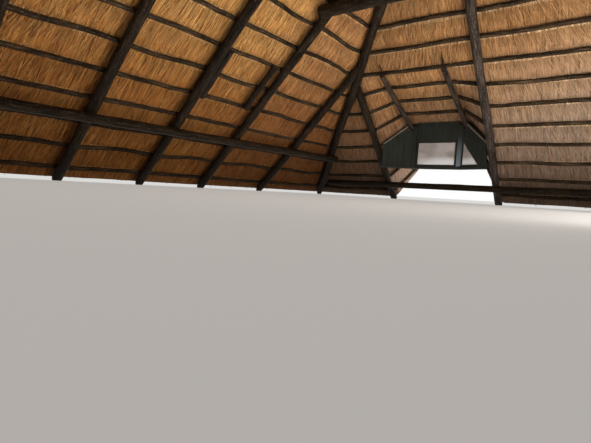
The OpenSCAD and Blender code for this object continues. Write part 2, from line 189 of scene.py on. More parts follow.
class Build:
    """Collects roof places, faces, UVs and material numbers for one piece."""

    def __init__(self):
        self.points, self.faces, self.uvs, self.paints = [], [], [], []
        self.count = 0

    def add(self, points, faces, uvs, paint=0):
        """Faces are rows of 3 or 4 point numbers; uvs has one row for each point."""
        points = placed(points).reshape(-1, 3)
        faces = np.asarray(faces, int)
        self.points.append(points)
        self.faces.append(faces + self.count)
        self.uvs.append(np.asarray(uvs, float).reshape(-1, 2)[faces.ravel()])
        self.paints.append(np.full(len(faces), paint))
        self.count += len(points)

    def grid(self, points, uvs, paint=0, flip=False):
        """A sheet from an array of rows and columns of points."""
        rows, cols = points.shape[:2]
        at = np.arange(rows * cols).reshape(rows, cols)
        quads = np.stack([at[:-1, :-1], at[:-1, 1:], at[1:, 1:], at[1:, :-1]], -1).reshape(-1, 4)
        self.add(points, quads[:, ::-1] if flip else quads, uvs, paint)

    def wall(self, edges, paint=0, flip=False, axis=0):
        """A plain strip between two edges, which are its rows or its columns."""
        points = np.stack(edges, axis)
        self.grid(points, np.zeros(points.shape[:2] + (2,)), paint, flip)

    def piece(self, name, materials, slot, nodes=(), smooth=True):
        mesh = bpy.data.meshes.new(name)
        points = np.concatenate(self.points)
        loops = np.concatenate([f.ravel() for f in self.faces])
        totals = np.concatenate([np.full(len(f), f.shape[1]) for f in self.faces])
        mesh.vertices.add(len(points))
        mesh.vertices.foreach_set("co", points.ravel())
        mesh.loops.add(len(loops))
        mesh.loops.foreach_set("vertex_index", loops)
        mesh.polygons.add(len(totals))
        mesh.polygons.foreach_set("loop_start", np.concatenate([[0], np.cumsum(totals)[:-1]]))
        mesh.polygons.foreach_set("loop_total", totals)
        mesh.polygons.foreach_set("material_index", np.concatenate(self.paints))
        mesh.polygons.foreach_set("use_smooth", np.full(len(totals), smooth))
        layer = mesh.uv_layers.new(name="grain")
        layer.data.foreach_set("uv", np.concatenate(self.uvs).ravel())
        mesh.update()
        mesh.validate()
        to_piece(name, mesh, materials, nodes)


def linked(name, data):
    """A new object in the scene."""
    made = bpy.data.objects.new(name, data)
    bpy.context.scene.collection.objects.link(made)
    return made


def from_bmesh(name, part):
    """Turns a bmesh into a mesh and frees it."""
    mesh = bpy.data.meshes.new(name)
    part.to_mesh(mesh)
    part.free()
    return mesh


def to_piece(name, mesh, materials, nodes=()):
    """A piece that rides on the roof, in place of the CAD nodes that are named."""
    for material in materials:
        mesh.materials.append(material)
    piece = linked(name, mesh)
    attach(piece, "root")
    if nodes:
        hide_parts(*nodes)


# Node materials

class Nodes:
    """A node tree under construction. A node's input takes a value or another node's output."""

    def __init__(self, tree):
        self.tree = tree

    def node(self, kind, inputs=None, **settings):
        made = self.tree.nodes.new("ShaderNode" + kind)
        for key, value in settings.items():
            setattr(made, key, value)
        for key, value in (inputs or {}).items():
            if hasattr(value, "is_output"):
                self.tree.links.new(value, made.inputs[key])
            else:
                made.inputs[key].default_value = value
        return made

    def maths(self, operation, a, b=0.0):
        return self.node("Math", {0: a, 1: b}, operation=operation).outputs[0]

    def seen_by(self, *rays):
        """1 for the kinds of ray that are named, 0 for the rest."""
        kinds = self.node("LightPath").outputs
        found = kinds[rays[0]]
        for ray in rays[1:]:
            found = self.maths("MAXIMUM", found, kinds[ray])
        return found

    def show(self, output, factor, a, b):
        """Joins a mixture of two shaders to the output node."""
        mixed = self.node("MixShader", {0: factor, 1: a, 2: b}).outputs[0]
        self.tree.links.new(mixed, output.inputs[0])


class Paint(Nodes):
    """A procedural material. Scales are features a metre, across the grain and along it on the
    piece's own UVs, or along three axes. A colour has three parts, and a number is a grey."""

    def __init__(self, name, **values):
        self.material = bpy.data.materials.new(name)
        self.material.use_nodes = True
        super().__init__(self.material.node_tree)
        self.shader = self.tree.nodes["Principled BSDF"]
        for key, value in values.items():
            self.shader.inputs[key.replace("_", " ")].default_value = value

    def feed(self, **outputs):
        for key, output in outputs.items():
            self.tree.links.new(output, self.shader.inputs[key.replace("_", " ")])

    def space(self, scale):
        if len(scale) == 3:
            source = self.node("TexCoord").outputs["Object"]
        else:
            source = self.node("UVMap", uv_map="grain").outputs["UV"]
            scale = (*scale, 1)
        return self.node("Mapping", {"Vector": source, "Scale": scale}).outputs["Vector"]

    def noise(self, scale, detail=3.0, roughness=0.6, distortion=0.0):
        inputs = {"Vector": self.space(scale), "Scale": 1.0, "Detail": detail,
                  "Roughness": roughness, "Distortion": distortion}
        return self.node("TexNoise", inputs).outputs["Fac"]

    def ramp(self, factor, *stops):
        made = self.node("ValToRGB", {"Fac": factor})
        elements = made.color_ramp.elements
        while len(elements) < len(stops):
            elements.new(1.0)
        for element, (place, colour) in zip(elements, stops):
            element.position = place
            element.color = (*np.broadcast_to(colour, 3), 1)
        return made.outputs["Color"]

    def mix(self, factor, a, b, blend="MIX"):
        b = (*b, 1) if isinstance(b, tuple) else b
        return self.node("Mix", {0: factor, 6: a, 7: b}, data_type="RGBA", blend_type=blend).outputs[2]

    def times(self, colour, *others):
        """Colours multiplied."""
        for other in others:
            colour = self.mix(1.0, colour, other, "MULTIPLY")
        return colour

    def sum(self, a, weight_a, b, weight_b):
        return self.maths("ADD", self.maths("MULTIPLY", a, weight_a), self.maths("MULTIPLY", b, weight_b))

    def along(self, direction, start, end, most=1.0):
        """Rises from 0 at one place along a direction to its most at another."""
        place = self.node("TexCoord").outputs["Object"]
        reach = self.node("VectorMath", {0: place, 1: direction}, operation="DOT_PRODUCT").outputs["Value"]
        return self.node("MapRange", {"Value": reach, "From Min": start, "From Max": end,
                                      "To Min": 0.0, "To Max": most}).outputs["Result"]

    def done(self, colour, height, strength, distance):
        """Feeds the colour and the relief to the shader, and gives the material."""
        relief = self.node("Bump", {"Height": height, "Strength": strength, "Distance": distance})
        self.feed(Base_Color=colour, Normal=relief.outputs["Normal"])
        return self.material


def straw_paint(name, dark, gold, light, gap, washes=(), bundled=(0.74, 0.97, 1.12)):
    """Thatching grass: fine stalks along the slope, in bundles, with painted shade in the gaps
    between them. Each wash is painted light or shade that comes in along a direction, between
    two places on it. Bundled says how light the straw is painted between the bundles, as shade,
    on them, and on the fullest of them, as painted light."""
    paint = Paint(name, Roughness=0.70, Specular_IOR_Level=0.12)
    stalk = paint.noise((190, 2.2), 3, 0.65, 0.15)
    gaps = paint.noise((58, 1.9), 3, 0.60, 0.25)
    bundles = paint.noise((21, 0.9), 3, 0.6, 0.4)
    patches = paint.noise((4.6, 2.6), 3, 0.6)
    body = paint.ramp(stalk, (0.36, dark), (0.47, gold), (0.58, light), (0.75, light))
    # Painted shade in the gaps between the bundles
    deep = paint.ramp(gaps, (0.34, gap), (0.44, 0.72), (0.52, 1.0), (0.68, 1.22))
    # Painted shade between the bundles and painted light on the fullest of them
    shade = paint.ramp(bundles, *zip((0.34, 0.50, 0.68), bundled))
    tone = paint.ramp(patches, (0.36, (0.88, 0.79, 0.73)), (0.64, (1.08, 1.09, 1.05)))
    colour = paint.times(body, deep, shade, tone)
    # The painted shade of the gaps and bundles, kept under the mixed washes
    grooves = paint.times(deep, shade)
    for direction, start, end, most, tint, blend in washes:
        amount = paint.along(direction, start, end, most)
        cover = paint.times(grooves, tint) if blend == "MIX" else tint
        colour = paint.mix(amount, colour, cover, blend)
    return paint.done(colour, paint.sum(gaps, 1.5, stalk, 0.6), 1.0, 0.011)


def weathered_paint():
    """Straw after years in the sun and rain: grey brown, speckled with butt ends, in ragged
    courses that lap over each other, with painted shade just under each lap and painted light
    towards each course's edge, streaked downhill and darker towards the foot."""
    paint = Paint("straw_weathered", Roughness=0.85, Specular_IOR_Level=0.10)
    ends = paint.noise((150, 62), 3, 0.7, 0.3)
    combed = paint.noise((52, 7.0), 3, 0.6, 0.5)
    tufts = paint.noise((15, 6.0), 4, 0.6, 0.6)
    streaks = paint.noise((6.0, 0.40), 4, 0.6, 0.6)
    patches = paint.noise((0.9, 0.7), 4, 0.6, 0.3)
    down = paint.node("SeparateXYZ", {"Vector": paint.space((1, 1 / GAUGE))}).outputs["Y"]
    # Painted shade just under each lap and painted light towards each course's edge
    lap = paint.maths("FRACT", paint.maths("ADD", down, paint.sum(tufts, 1.00, combed, 0.50)))
    colour = paint.ramp(ends, (0.33, (0.110, 0.084, 0.054)), (0.48, (0.262, 0.204, 0.134)),
                        (0.62, (0.370, 0.304, 0.214)))
    for factor, *stops in ((lap, (0.0, 0.80), (0.14, 0.93), (0.50, 1.00), (0.90, 1.06), (1.0, 0.93)),
                           (combed, (0.36, 0.86), (0.64, 1.08)),
                           (tufts, (0.36, 0.84), (0.64, 1.08)),
                           (streaks, (0.36, 0.88), (0.64, 1.06)),
                           (patches, (0.36, (0.86, 0.88, 0.90)), (0.64, (1.08, 1.06, 1.02)))):
        colour = paint.times(colour, paint.ramp(factor, *stops))
    # Darker towards the foot
    darker_low = paint.along((0, 0, 1), 1.10, 0.15)
    colour = paint.mix(darker_low, colour, (0.84, 0.82, 0.76), "MULTIPLY")
    return paint.done(colour, paint.sum(ends, 0.7, lap, 0.5), 1.0, 0.016)


def straw_ends_paint():
    """Cut ends of the stalks, seen end on."""
    paint = Paint("straw_ends", Roughness=0.85)
    cells = paint.node("TexVoronoi", {"Vector": paint.space((1, 1)), "Scale": 150.0}).outputs["Distance"]
    speckle = paint.noise((60, 60), 3, 0.7)
    body = paint.ramp(cells, (0.10, (0.30, 0.19, 0.085)), (0.45, (0.42, 0.29, 0.15)),
                      (0.75, (0.12, 0.075, 0.035)))
    return paint.done(paint.times(body, paint.ramp(speckle, (0.3, 0.6), (0.6, 1.05))), cells, 0.6, 0.006)


def pole_paint(name, dark, mid, bare, speck, rough=0.60):
    """Tarred gum pole: streaked along its length, browner where it is worn, with pale specks."""
    paint = Paint(name, Roughness=rough, Specular_IOR_Level=0.15)
    long = paint.noise((48, 5), 5, 0.68, 0.8)
    worn = paint.noise((11, 2.2), 4, 0.65, 0.8)
    specks = paint.noise((75, 34), 2, 0.5, 0.4)
    body = paint.ramp(long, (0.34, dark), (0.52, mid), (0.72, bare))
    shade = paint.ramp(worn, (0.36, 0.38), (0.50, 0.95), (0.66, 1.70))
    pale = paint.ramp(specks, (0.625, 0.0), (0.690, 1.0))
    colour = paint.mix(paint.maths("MULTIPLY", pale, speck), paint.times(body, shade), (0.30, 0.24, 0.17))
    paint.feed(Roughness=paint.ramp(worn, (0.3, rough - 0.14), (0.7, rough + 0.16)))
    return paint.done(colour, paint.maths("ADD", long, worn), 1.0, 0.010)


def pole_end_paint():
    """Sawn end of a tarred pole, with rings and stains."""
    paint = Paint("pole_end", Roughness=0.8)
    rings = paint.node("TexWave", {"Vector": paint.space((1, 1)), "Scale": 42.0, "Distortion": 2.5,
                                   "Detail": 3.0}, wave_type="RINGS", rings_direction="Z").outputs["Fac"]
    stain = paint.ramp(paint.noise((40, 40), 3, 0.6), (0.3, 0.5), (0.7, 1.2))
    body = paint.ramp(rings, (0.0, (0.040, 0.030, 0.022)), (1.0, (0.085, 0.062, 0.044)))
    return paint.done(paint.times(body, stain), rings, 0.4, 0.002)


def board_paint(name, colour, sheen, fade=None):
    """Planed board under dark satin paint, with grain that shows through. A fade is the two
    heights between which its colour turns to another tone."""
    paint = Paint(name, Roughness=sheen)
    grain = paint.noise((70, 70, 3.5), 5, 0.6, 0.8)
    dust = paint.noise((5, 5, 5), 4, 0.65)
    body = paint.ramp(grain, (0.3, [c * 0.72 for c in colour]), (0.7, [c * 1.35 for c in colour]))
    colour = paint.times(body, paint.ramp(dust, (0.35, 0.85), (0.7, 1.25)))
    if fade:
        high, low, tint = fade
        colour = paint.mix(paint.along((0, 0, 1), high, low), colour, tint)
    paint.feed(Roughness=paint.ramp(dust, (0.3, sheen - 0.08), (0.7, sheen + 0.12)))
    return paint.done(colour, grain, 0.35, 0.0015)


def mortar_paint():
    """Trowelled ridge mortar, stained by the weather."""
    paint = Paint("ridge_mortar", Roughness=0.9)
    sand = paint.noise((220, 220, 220), 3, 0.7)
    stain = paint.noise((4, 4, 4), 5, 0.65, 0.4)
    body = paint.ramp(stain, (0.30, (0.20, 0.19, 0.16)), (0.52, (0.36, 0.34, 0.30)),
                      (0.75, (0.47, 0.45, 0.41)))
    height = paint.maths("ADD", sand, paint.maths("MULTIPLY", stain, 3.0))
    return paint.done(paint.times(body, paint.ramp(sand, (0.3, 0.82), (0.7, 1.1))), height, 0.5, 0.006)


LIGHT_TOP = hood_node(1, SCREEN_ROW)[2] - SCREEN_H + SILL_H + LIGHT_UP + LIGHT_H
LIGHT_FOOT = LIGHT_TOP - LIGHT_H


def glass_paint():
    """Window glass with a mottled haze of dust; towards its foot it turns a pale bluish white and
    lets less through, so it is clearer towards the top.
    """
    paint = Paint("dusty_glass", Roughness=0.04, IOR=1.45)
    dust = paint.noise((3.0, 3.0, 5.0), 3, 0.5, 0.4)
    foot = paint.along((0, 0, 1), LIGHT_TOP - 0.24, LIGHT_FOOT)
    haze = paint.ramp(dust, (0.35, (0.62, 0.58, 0.55)), (0.65, (0.72, 0.69, 0.67)))
    clear = paint.ramp(dust, (0.36, 0.62), (0.64, 0.50))
    paint.feed(Base_Color=paint.mix(foot, haze, (0.95, 0.97, 1.0)),
               Transmission_Weight=paint.mix(foot, clear, (0.30, 0.30, 0.30)),
               Roughness=paint.ramp(dust, (0.45, 0.10), (0.75, 0.20)))
    return paint.material


# Painted shade: the underside darker and redder low down
PAINTED_SHADE_LOW = ((0, 0, 1), 1.95, 1.15, 1.0, (0.66, 0.54, 0.46), "MULTIPLY")
# Painted shade: the left slope darker towards the far hip
PAINTED_SHADE_BY_HIP = ((0, 1, 0), 0.95, 2.0, 1.0, (0.83, 0.785, 0.95), "MULTIPLY")
# Painted light: the far slope paler and greyer low down
PAINTED_LIGHT_LOW = ((0.3, 0, -1), -2.1, -0.9, 0.85, (0.364, 0.268, 0.193), "MIX")
# Painted shade: the far slope darker towards the right
PAINTED_SHADE_FAR_RIGHT = ((1, 0, 0), -0.05, 0.30, 1.0, (0.82, 0.82, 0.83), "MULTIPLY")
HOOD_SHADE = ((-0.5, 1, 0), 3.7, 5.0, 1.0, (0.68, 0.65, 0.68), "MULTIPLY")
SHADED_TOP = ((0, 0, 1), 1.85, 2.35, 1.0, (0.76, 0.74, 0.71), "MULTIPLY")
# The far slope's painted light and shade
FAR_PAINTED_LIGHT_AND_SHADE = (PAINTED_LIGHT_LOW, SHADED_TOP, HOOD_SHADE, PAINTED_SHADE_FAR_RIGHT)
DARK_GREEN = (0.0150, 0.0195, 0.0165)
STRAW_UNDER = straw_paint(
    "straw_under", (0.250, 0.098, 0.026), (0.500, 0.230, 0.061), (0.680, 0.398, 0.138), 0.26,
    (PAINTED_SHADE_LOW, PAINTED_SHADE_BY_HIP), (0.60, 0.96, 1.18))
# A darker, greyer copy of the underside's straw: painted shade for the far slope and the hood
STRAW_FAR = straw_paint(
    "straw_far", (0.235, 0.098, 0.031), (0.420, 0.205, 0.074), (0.600, 0.342, 0.150), 0.26, FAR_PAINTED_LIGHT_AND_SHADE)
STRAW_OVER = weathered_paint()
STRAW_STALK = straw_paint(
    "straw_stalks", (0.270, 0.115, 0.031), (0.540, 0.292, 0.092), (0.710, 0.468, 0.192), 0.60,
    (PAINTED_SHADE_LOW, PAINTED_SHADE_BY_HIP))
# A darker copy of the stalks: painted shade for the far slope and the hood
STRAW_STALK_FAR = straw_paint(
    "straw_stalks_far", (0.240, 0.112, 0.042), (0.450, 0.240, 0.098), (0.620, 0.380, 0.185), 0.60,
    FAR_PAINTED_LIGHT_AND_SHADE)
# The cut ends, paler than the straw: partly their own colour and partly painted light
STRAW_CUT = straw_paint(
    "straw_cut_gold", (0.400, 0.215, 0.070), (0.700, 0.420, 0.165), (0.860, 0.610, 0.330), 0.70,
    (PAINTED_SHADE_LOW,))
# The far slope's cut ends, also painted pale, under the far slope's painted shade
STRAW_CUT_FAR = straw_paint(
    "straw_cut", (0.400, 0.235, 0.100), (0.660, 0.450, 0.250), (0.810, 0.620, 0.400), 0.70,
    (SHADED_TOP, HOOD_SHADE))
# Dark stalks that lie flat in the gaps: painted shade
STRAW_GAP_SHADE = straw_paint(
    "straw_gap_shade", (0.090, 0.038, 0.012), (0.150, 0.066, 0.021), (0.230, 0.108, 0.039), 0.70)
STRAW_ENDS = straw_ends_paint()
POLE = pole_paint(
    "tarred_pole", (0.0062, 0.0044, 0.0028), (0.0155, 0.0102, 0.0060), (0.048, 0.032, 0.019), 0.20)
BROWN_POLE = pole_paint(
    "brown_pole", (0.0120, 0.0090, 0.0075), (0.0420, 0.0310, 0.0250), (0.095, 0.072, 0.058), 0.40)
WORN_POLE = pole_paint(
    "worn_pole", (0.0110, 0.0080, 0.0060), (0.0340, 0.0240, 0.0170), (0.090, 0.066, 0.048), 0.70)
BATTEN_POLE = pole_paint(
    "batten_pole", (0.0130, 0.0085, 0.0045), (0.0340, 0.0220, 0.0120), (0.090, 0.060, 0.034), 0.30, 0.8)
POLE_END = pole_end_paint()
TWINE = pole_paint(
    "twine", (0.0350, 0.0260, 0.0180), (0.0850, 0.0630, 0.0420), (0.240, 0.185, 0.130), 0.50, 0.8)
BOARD = board_paint("dark_boards", DARK_GREEN, 0.42)
POST_PAINT = board_paint(
    "dark_post", DARK_GREEN, 0.36, (LIGHT_TOP + 0.09, LIGHT_FOOT, (0.150, 0.180, 0.215)))
STRIP = board_paint("worn_strip", (0.135, 0.122, 0.100), 0.50)
MORTAR = mortar_paint()
GLASS = glass_paint()


# Poles

def tube(path, radii, ups):
    """Points and UVs of a tube; radii has one row for each point of the path."""
    along = unit(np.gradient(path, axis=0))
    side = unit(np.cross(along, ups))
    up = np.cross(side, along)
    angle = np.linspace(0, 2 * math.pi, radii.shape[1] + 1)
    ring = np.concatenate([radii, radii[:, :1]], axis=1)
    points = (path[:, None] + side[:, None] * (ring * np.cos(angle))[..., None]
              + up[:, None] * (ring * np.sin(angle))[..., None])
    length = np.concatenate([[0], np.cumsum(np.linalg.norm(np.diff(path, axis=0), axis=1))])
    return points, np.stack(np.broadcast_arrays(angle[None] * radii.mean(), length[:, None]), -1)


KNOT_LENGTH = (0.025, 0.055)
KNOT_HEIGHT = (0.05, 0.11)
KNOT_NARROWNESS = 5
SLOWEST_WAVE = 0.9


def pole_radii(rng, n, sides, length, taper, knots=2.4, rough=0.034):
    """Bumpy radii along a pole, as shares of its radius."""
    v = np.linspace(0, length, n)[:, None]
    angle = np.linspace(0, 2 * math.pi, sides, endpoint=False)[None]
    radii = np.full((n, sides), 1.0) + taper * (0.5 - v / length)
    for wave in (2, 3, 5):
        phase = rng.uniform(0, 2 * math.pi, 2)
        radii += rough / wave * np.cos(wave * angle + phase[0] + v * rng.uniform(-2, 2))
        radii += rough * 0.7 * np.sin(v * wave * rng.uniform(1.2, 2.0) + phase[1])
    for _ in range(int(length * knots)):
        at, turn = rng.uniform(0, length), rng.uniform(0, 2 * math.pi)
        wide = rng.uniform(*KNOT_LENGTH)
        facing = np.exp((np.cos(angle - turn) - 1) * KNOT_NARROWNESS)
        radii += rng.uniform(*KNOT_HEIGHT) * np.exp(-((v - at) / wide) ** 2) * facing
    return radii


def wander(rng, v, size, waves=3, quickest=3.2):
    """A gentle crookedness along a length."""
    out = np.zeros_like(v)
    for _ in range(waves):
        out += np.sin(v * rng.uniform(SLOWEST_WAVE, quickest) + rng.uniform(0, 2 * math.pi))
    return out * size / math.sqrt(waves)


def cap(face, layer):
    """Marks a face as a sawn end, with its UVs centred on it."""
    face.material_index = 1
    face.smooth = False
    face.normal_update()
    middle = face.calc_center_median()
    side = face.normal.orthogonal().normalized()
    up = face.normal.cross(side)
    for loop in face.loops:
        away = loop.vert.co - middle
        loop[layer].uv = (away.dot(side), away.dot(up))


def skinned(points, uvs):
    """A bmesh of a tube with its ends capped, and its UV layer."""
    part = bmesh.new()
    layer = part.loops.layers.uv.new("grain")
    rings = [[part.verts.new(point) for point in ring[:-1]] for ring in placed(points)]
    sides = len(rings[0])
    for i in range(len(rings) - 1):
        for j in range(sides):
            k = (j + 1) % sides
            face = part.faces.new((rings[i][j], rings[i][k], rings[i + 1][k], rings[i + 1][j]))
            face.smooth = True
            for loop, corner in zip(face.loops, ((i, j), (i, j + 1), (i + 1, j + 1), (i + 1, j))):
                loop[layer].uv = uvs[corner]
    for ring in (rings[0][::-1], rings[-1]):
        cap(part.faces.new(ring), layer)
    return part, layer


def saw(part, layer, place, normal):
    """Cuts away what lies past a plane, given by a place and an outward normal."""
    everything = part.verts[:] + part.edges[:] + part.faces[:]
    cut = bmesh.ops.bisect_plane(part, geom=everything, plane_co=placed(place),
                                 plane_no=normal, clear_outer=True)
    edges = [e for e in cut["geom_cut"] if isinstance(e, bmesh.types.BMEdge)]
    if edges:
        for face in bmesh.ops.contextual_create(part, geom=edges)["faces"]:
            cap(face, layer)


def pole(into, p, q, diameter, seed, cuts=(), crook=0.008, sides=18, taper=0.06, spacing=0.045):
    """Adds a crooked pole from p to q to a bmesh, sawn by planes."""
    rng = np.random.default_rng(seed)
    p, q = np.asarray(p, float), np.asarray(q, float)
    length = np.linalg.norm(q - p)
    v = np.linspace(0, length, max(4, int(length / spacing)))
    axis = (q - p) / length
    side = unit(np.cross(axis, [0, 0, 1.0]))
    up = np.cross(side, axis)
    path = p + axis * v[:, None] + side * wander(rng, v, crook)[:, None] \
        + up * wander(rng, v, crook * 0.5)[:, None]
    radii = pole_radii(rng, len(v), sides, length, taper) * diameter / 2
    points, uvs = tube(path, radii, up)
    part, layer = skinned(points, uvs + rng.uniform(0, 40))
    for place, normal in cuts:
        saw(part, layer, place, normal)
    bmesh.ops.recalc_face_normals(part, faces=part.faces)
    mesh = from_bmesh("part", part)
    into.from_mesh(mesh)
    bpy.data.meshes.remove(mesh)


def pole_piece(name, nodes, poles, material=POLE):
    """One piece from several poles, each a dictionary of arguments for pole()."""
    together = bmesh.new()
    together.loops.layers.uv.new("grain")
    for arguments in poles:
        pole(together, **arguments)
    to_piece(name, from_bmesh(name, together), [material, POLE_END], nodes)


FIRST_COMMON = RAFTER_GAP / 2
LONG_JACK = FIRST_COMMON + RAFTER_GAP
SHORT_JACK = LONG_JACK + LAST_JACK_GAP
JACK_BACK = RR * math.sqrt(2)
PAST_APEX = 0.05
PAST_CUT = 0.06
HIP_SWELL = 1.07
SIDE_HIP_CUT = ((0, HALF - JACK_BACK, 0), (1, 1, 0))
END_HIP_CUT = ((0, HALF + JACK_BACK, 0), (-1, -1, 0))


def rafter(kind, place, mx, my, seed, extra=()):
    """A rafter of the left slope, the far slope or their hip, mirrored by mx and my."""
    x = (place, place) if kind == "end" else (PAST_APEX, -EDGE_RUN)
    y = (place, place) if kind == "side" else (HALF - PAST_APEX, HALF + EDGE_RUN)
    z = (RAFTER_APEX + PAST_APEX * T, RAFTER_APEX - EDGE_RUN * T)
    cuts = [((0, 0, 0), (0, 0, -1))]
    if kind != "end":
        cuts.append(((-TAIL_RUN, 0, 0), (-1, 0, 0)))
    if kind == "side":
        cuts.append(((0, 0, 0), (1, 0, 0)))
    else:
        cuts += [((0, HALF + TAIL_RUN, 0), (0, 1, 0)), ((0, HALF, 0), (0, -1, 0))]
    mirrored = [[(v[0] * mx, v[1] * my, v[2]) for v in cut] for cut in cuts + list(extra)]
    p, q = ((x[i] * mx, y[i] * my, z[i]) for i in (0, 1))
    swell = HIP_SWELL if kind == "hip" else 1.0
    return dict(p=p, q=q, diameter=RAFTER * swell, seed=seed, cuts=mirrored)


def make_rafters():
    """Commons, jacks and hips on both sides, and the kings at the ends."""
    for side, mx in (("left", 1), ("right", -1)):
        pole_piece(f"commons_{side}", [f"common_rafters_{side}"],
                   [rafter("side", y, mx, 1, 10 + i + 2 * mx)
                    for i, y in enumerate((FIRST_COMMON, -FIRST_COMMON))])
        for end, my in (("far", 1), ("near", -1)):
            seed = 30 + 7 * mx + 3 * my
            pole_piece(f"jacks_{end}_{side}", [f"jack_rafters_{end}_{side}"], [
                rafter("side", LONG_JACK, mx, my, seed, [SIDE_HIP_CUT]),
                rafter("side", SHORT_JACK, mx, my, seed + 100, [SIDE_HIP_CUT]),
                rafter("end", -HOOD_W, mx, my, seed + 200, [END_HIP_CUT])])
            pole_piece(f"hip_{end}_{side}", [f"hip_rafter_{end}_{side}"],
                       [rafter("hip", 0, mx, my, seed + 300)])
    for end, my, seed in (("far", 1, 71), ("near", -1, 72)):
        pole_piece(f"king_{end}", [f"king_rafter_{end}"], [rafter("end", 0, 1, my, seed)], BROWN_POLE)


def make_collars():
    """Collar beams beside the rafters, from slope to slope."""
    reach = (RAFTER_APEX - COLLAR_Z) / T
    inward = RR + COLLAR / 2
    places = [s * (y - inward) for s in (-1, 1) for y in (LONG_JACK, FIRST_COMMON)]
    pole_piece("collars", ["collar_beams"], [
        dict(p=(-reach, y, COLLAR_Z), q=(reach, y, COLLAR_Z), diameter=COLLAR, seed=80 + i, crook=0.006)
        for i, y in enumerate(places)])


def make_ridge_pole():
    """It reaches to the undersides of the king rafters."""
    seat = RAFTER_APEX - RR / COS
    z = RAFTER_APEX - (RR + RIDGE_POLE / 2) / COS
    end = HALF + (seat - z - RIDGE_POLE / 2) / T
    pole_piece("ridge_beam", ["ridge_pole"],
               [dict(p=(0, -end, z), q=(0, end, z), diameter=RIDGE_POLE, seed=90, crook=0.003)])


def make_trimmers():
    """Short poles that double two rafters of the left slope."""
    drop = (RB + TRIMMER / 2) / COS
    high = TRIMMER_RUN - TRIMMER_LEN * COS
    places = (LONG_JACK - RAFTER - TRIMMER, FIRST_COMMON + RR + TRIMMER / 2)
    pole_piece("trimmers", ["trimmer_poles"], [
        dict(p=(-TRIMMER_RUN, y, plane_z(TRIMMER_RUN) - drop), q=(-high, y, plane_z(high) - drop),
             diameter=TRIMMER, seed=95 + i, crook=0.004) for i, y in enumerate(places)])


def make_plates():
    """Plate poles on the wall heads, sawn flat beneath."""
    clear = RR + PLATE / 2
    side_reach = HALF + SIDE_PLATE_RUN + clear
    end_reach = END_PLATE_RUN - clear
    end_y = HALF + END_PLATE_RUN
    for name, seed, run, x, y, dx, dy in (
            ("left", 59, SIDE_PLATE_RUN, -SIDE_PLATE_RUN, 0, 0, side_reach),
            ("right", 61, SIDE_PLATE_RUN, SIDE_PLATE_RUN, 0, 0, side_reach),
            ("far", 65, END_PLATE_RUN, 0, end_y, end_reach, 0),
            ("near", 63, END_PLATE_RUN, 0, -end_y, end_reach, 0)):
        z = plane_z(run) - (RB + RAFTER + PLATE / 2) / COS
        flat = ((0, 0, z + PLATE / 2 - PLATE_H), (0, 0, -1))
        pole_piece(f"wall_plate_{name}", [f"plate_{name}"],
                   [dict(p=(x - dx, y - dy, z), q=(x + dx, y + dy, z), diameter=PLATE, seed=seed,
                         cuts=[flat], crook=0.003)])


HEAD_LENGTHS = (0.13, 0.17)
HEAD_D = 0.028
HEAD_LAP = 0.04
HEAD_LIFT = 0.004
HEAD_LEAN = 0.012
HEAD_DROP = 0.018


def make_hood_poles():
    """Hood rafters, the pointed tips at their heads, and the beam under them."""
    head, tail = HOOD_D - RS, HOOD_RUN - STRAW_HANG / 2
    past = tail + PAST_CUT
    rafters, tips = [], []
    for i, (x, tip) in enumerate(zip(RAFTER_X, HEAD_LENGTHS)):
        rafters.append(dict(p=(x, HALF + head, flat_z(head) - HOOD_DROP),
                            q=(x, HALF + past, flat_z(past) - HOOD_DROP), diameter=HOOD_RAFTER,
                            seed=110 + i, cuts=[((0, HALF + tail, 0), (0, 1, 0))], crook=0.004))
        start, end = HOOD_D + HEAD_LAP, HOOD_D - tip
        tips.append(dict(p=(x, HALF + start, flat_z(start) - HOOD_DROP + HEAD_LIFT),
                         q=(x - HEAD_LEAN, HALF + end, plane_z(end) - HEAD_DROP / COS), diameter=HEAD_D,
                         seed=117 + i, crook=0.002, taper=1.5, sides=9, spacing=0.025))
    pole_piece("hood_poles", ["hood_rafters"], rafters, WORN_POLE)
    pole_piece("hood_pole_heads", [], tips)
    y = HALF + HOOD_RUN - HOOD_BEAM_IN
    z = flat_z(HOOD_RUN - HOOD_BEAM_IN) - (RB + HOOD_RAFTER + HOOD_BEAM / 2) / COS_H
    pole_piece("porch_beam", ["hood_beam"], [
        dict(p=(COLUMN_X[1] - HOOD_BEAM_PAST, y, z), q=(COLUMN_X[2] + HOOD_BEAM_PAST, y, z),
             diameter=HOOD_BEAM, seed=115, crook=0.003)])


# Battens

BATTEN_GAP = 0.0015
SIDE_BATTEN = BATTEN * 1.06
STOUT_BATTEN = 0.057
BATTEN_SIDES = 9
BATTEN_STEP = 0.07
FREE_END = 0.25
SIDE_BOW, END_BOW, HOOD_BOW, FINE_BOW = 0.011, 0.0075, 0.005, 0.0022
BATTEN_SAG = 0.003
HOOD_MIDDLE_TRIM = 0.002
LASHING_GAP = 0.30
LASHING_FROM = 0.10
LASHING_SHIFT = 0.05
LASHING_ARC = (math.radians(-200), math.radians(20), 7)
LASHING_FIT = 1.10
LASHING_SLANT = (0.010, 0.028)
TWINE_HALF_W = 0.0014
TWINE_KNOT = (0.005, 0.009)


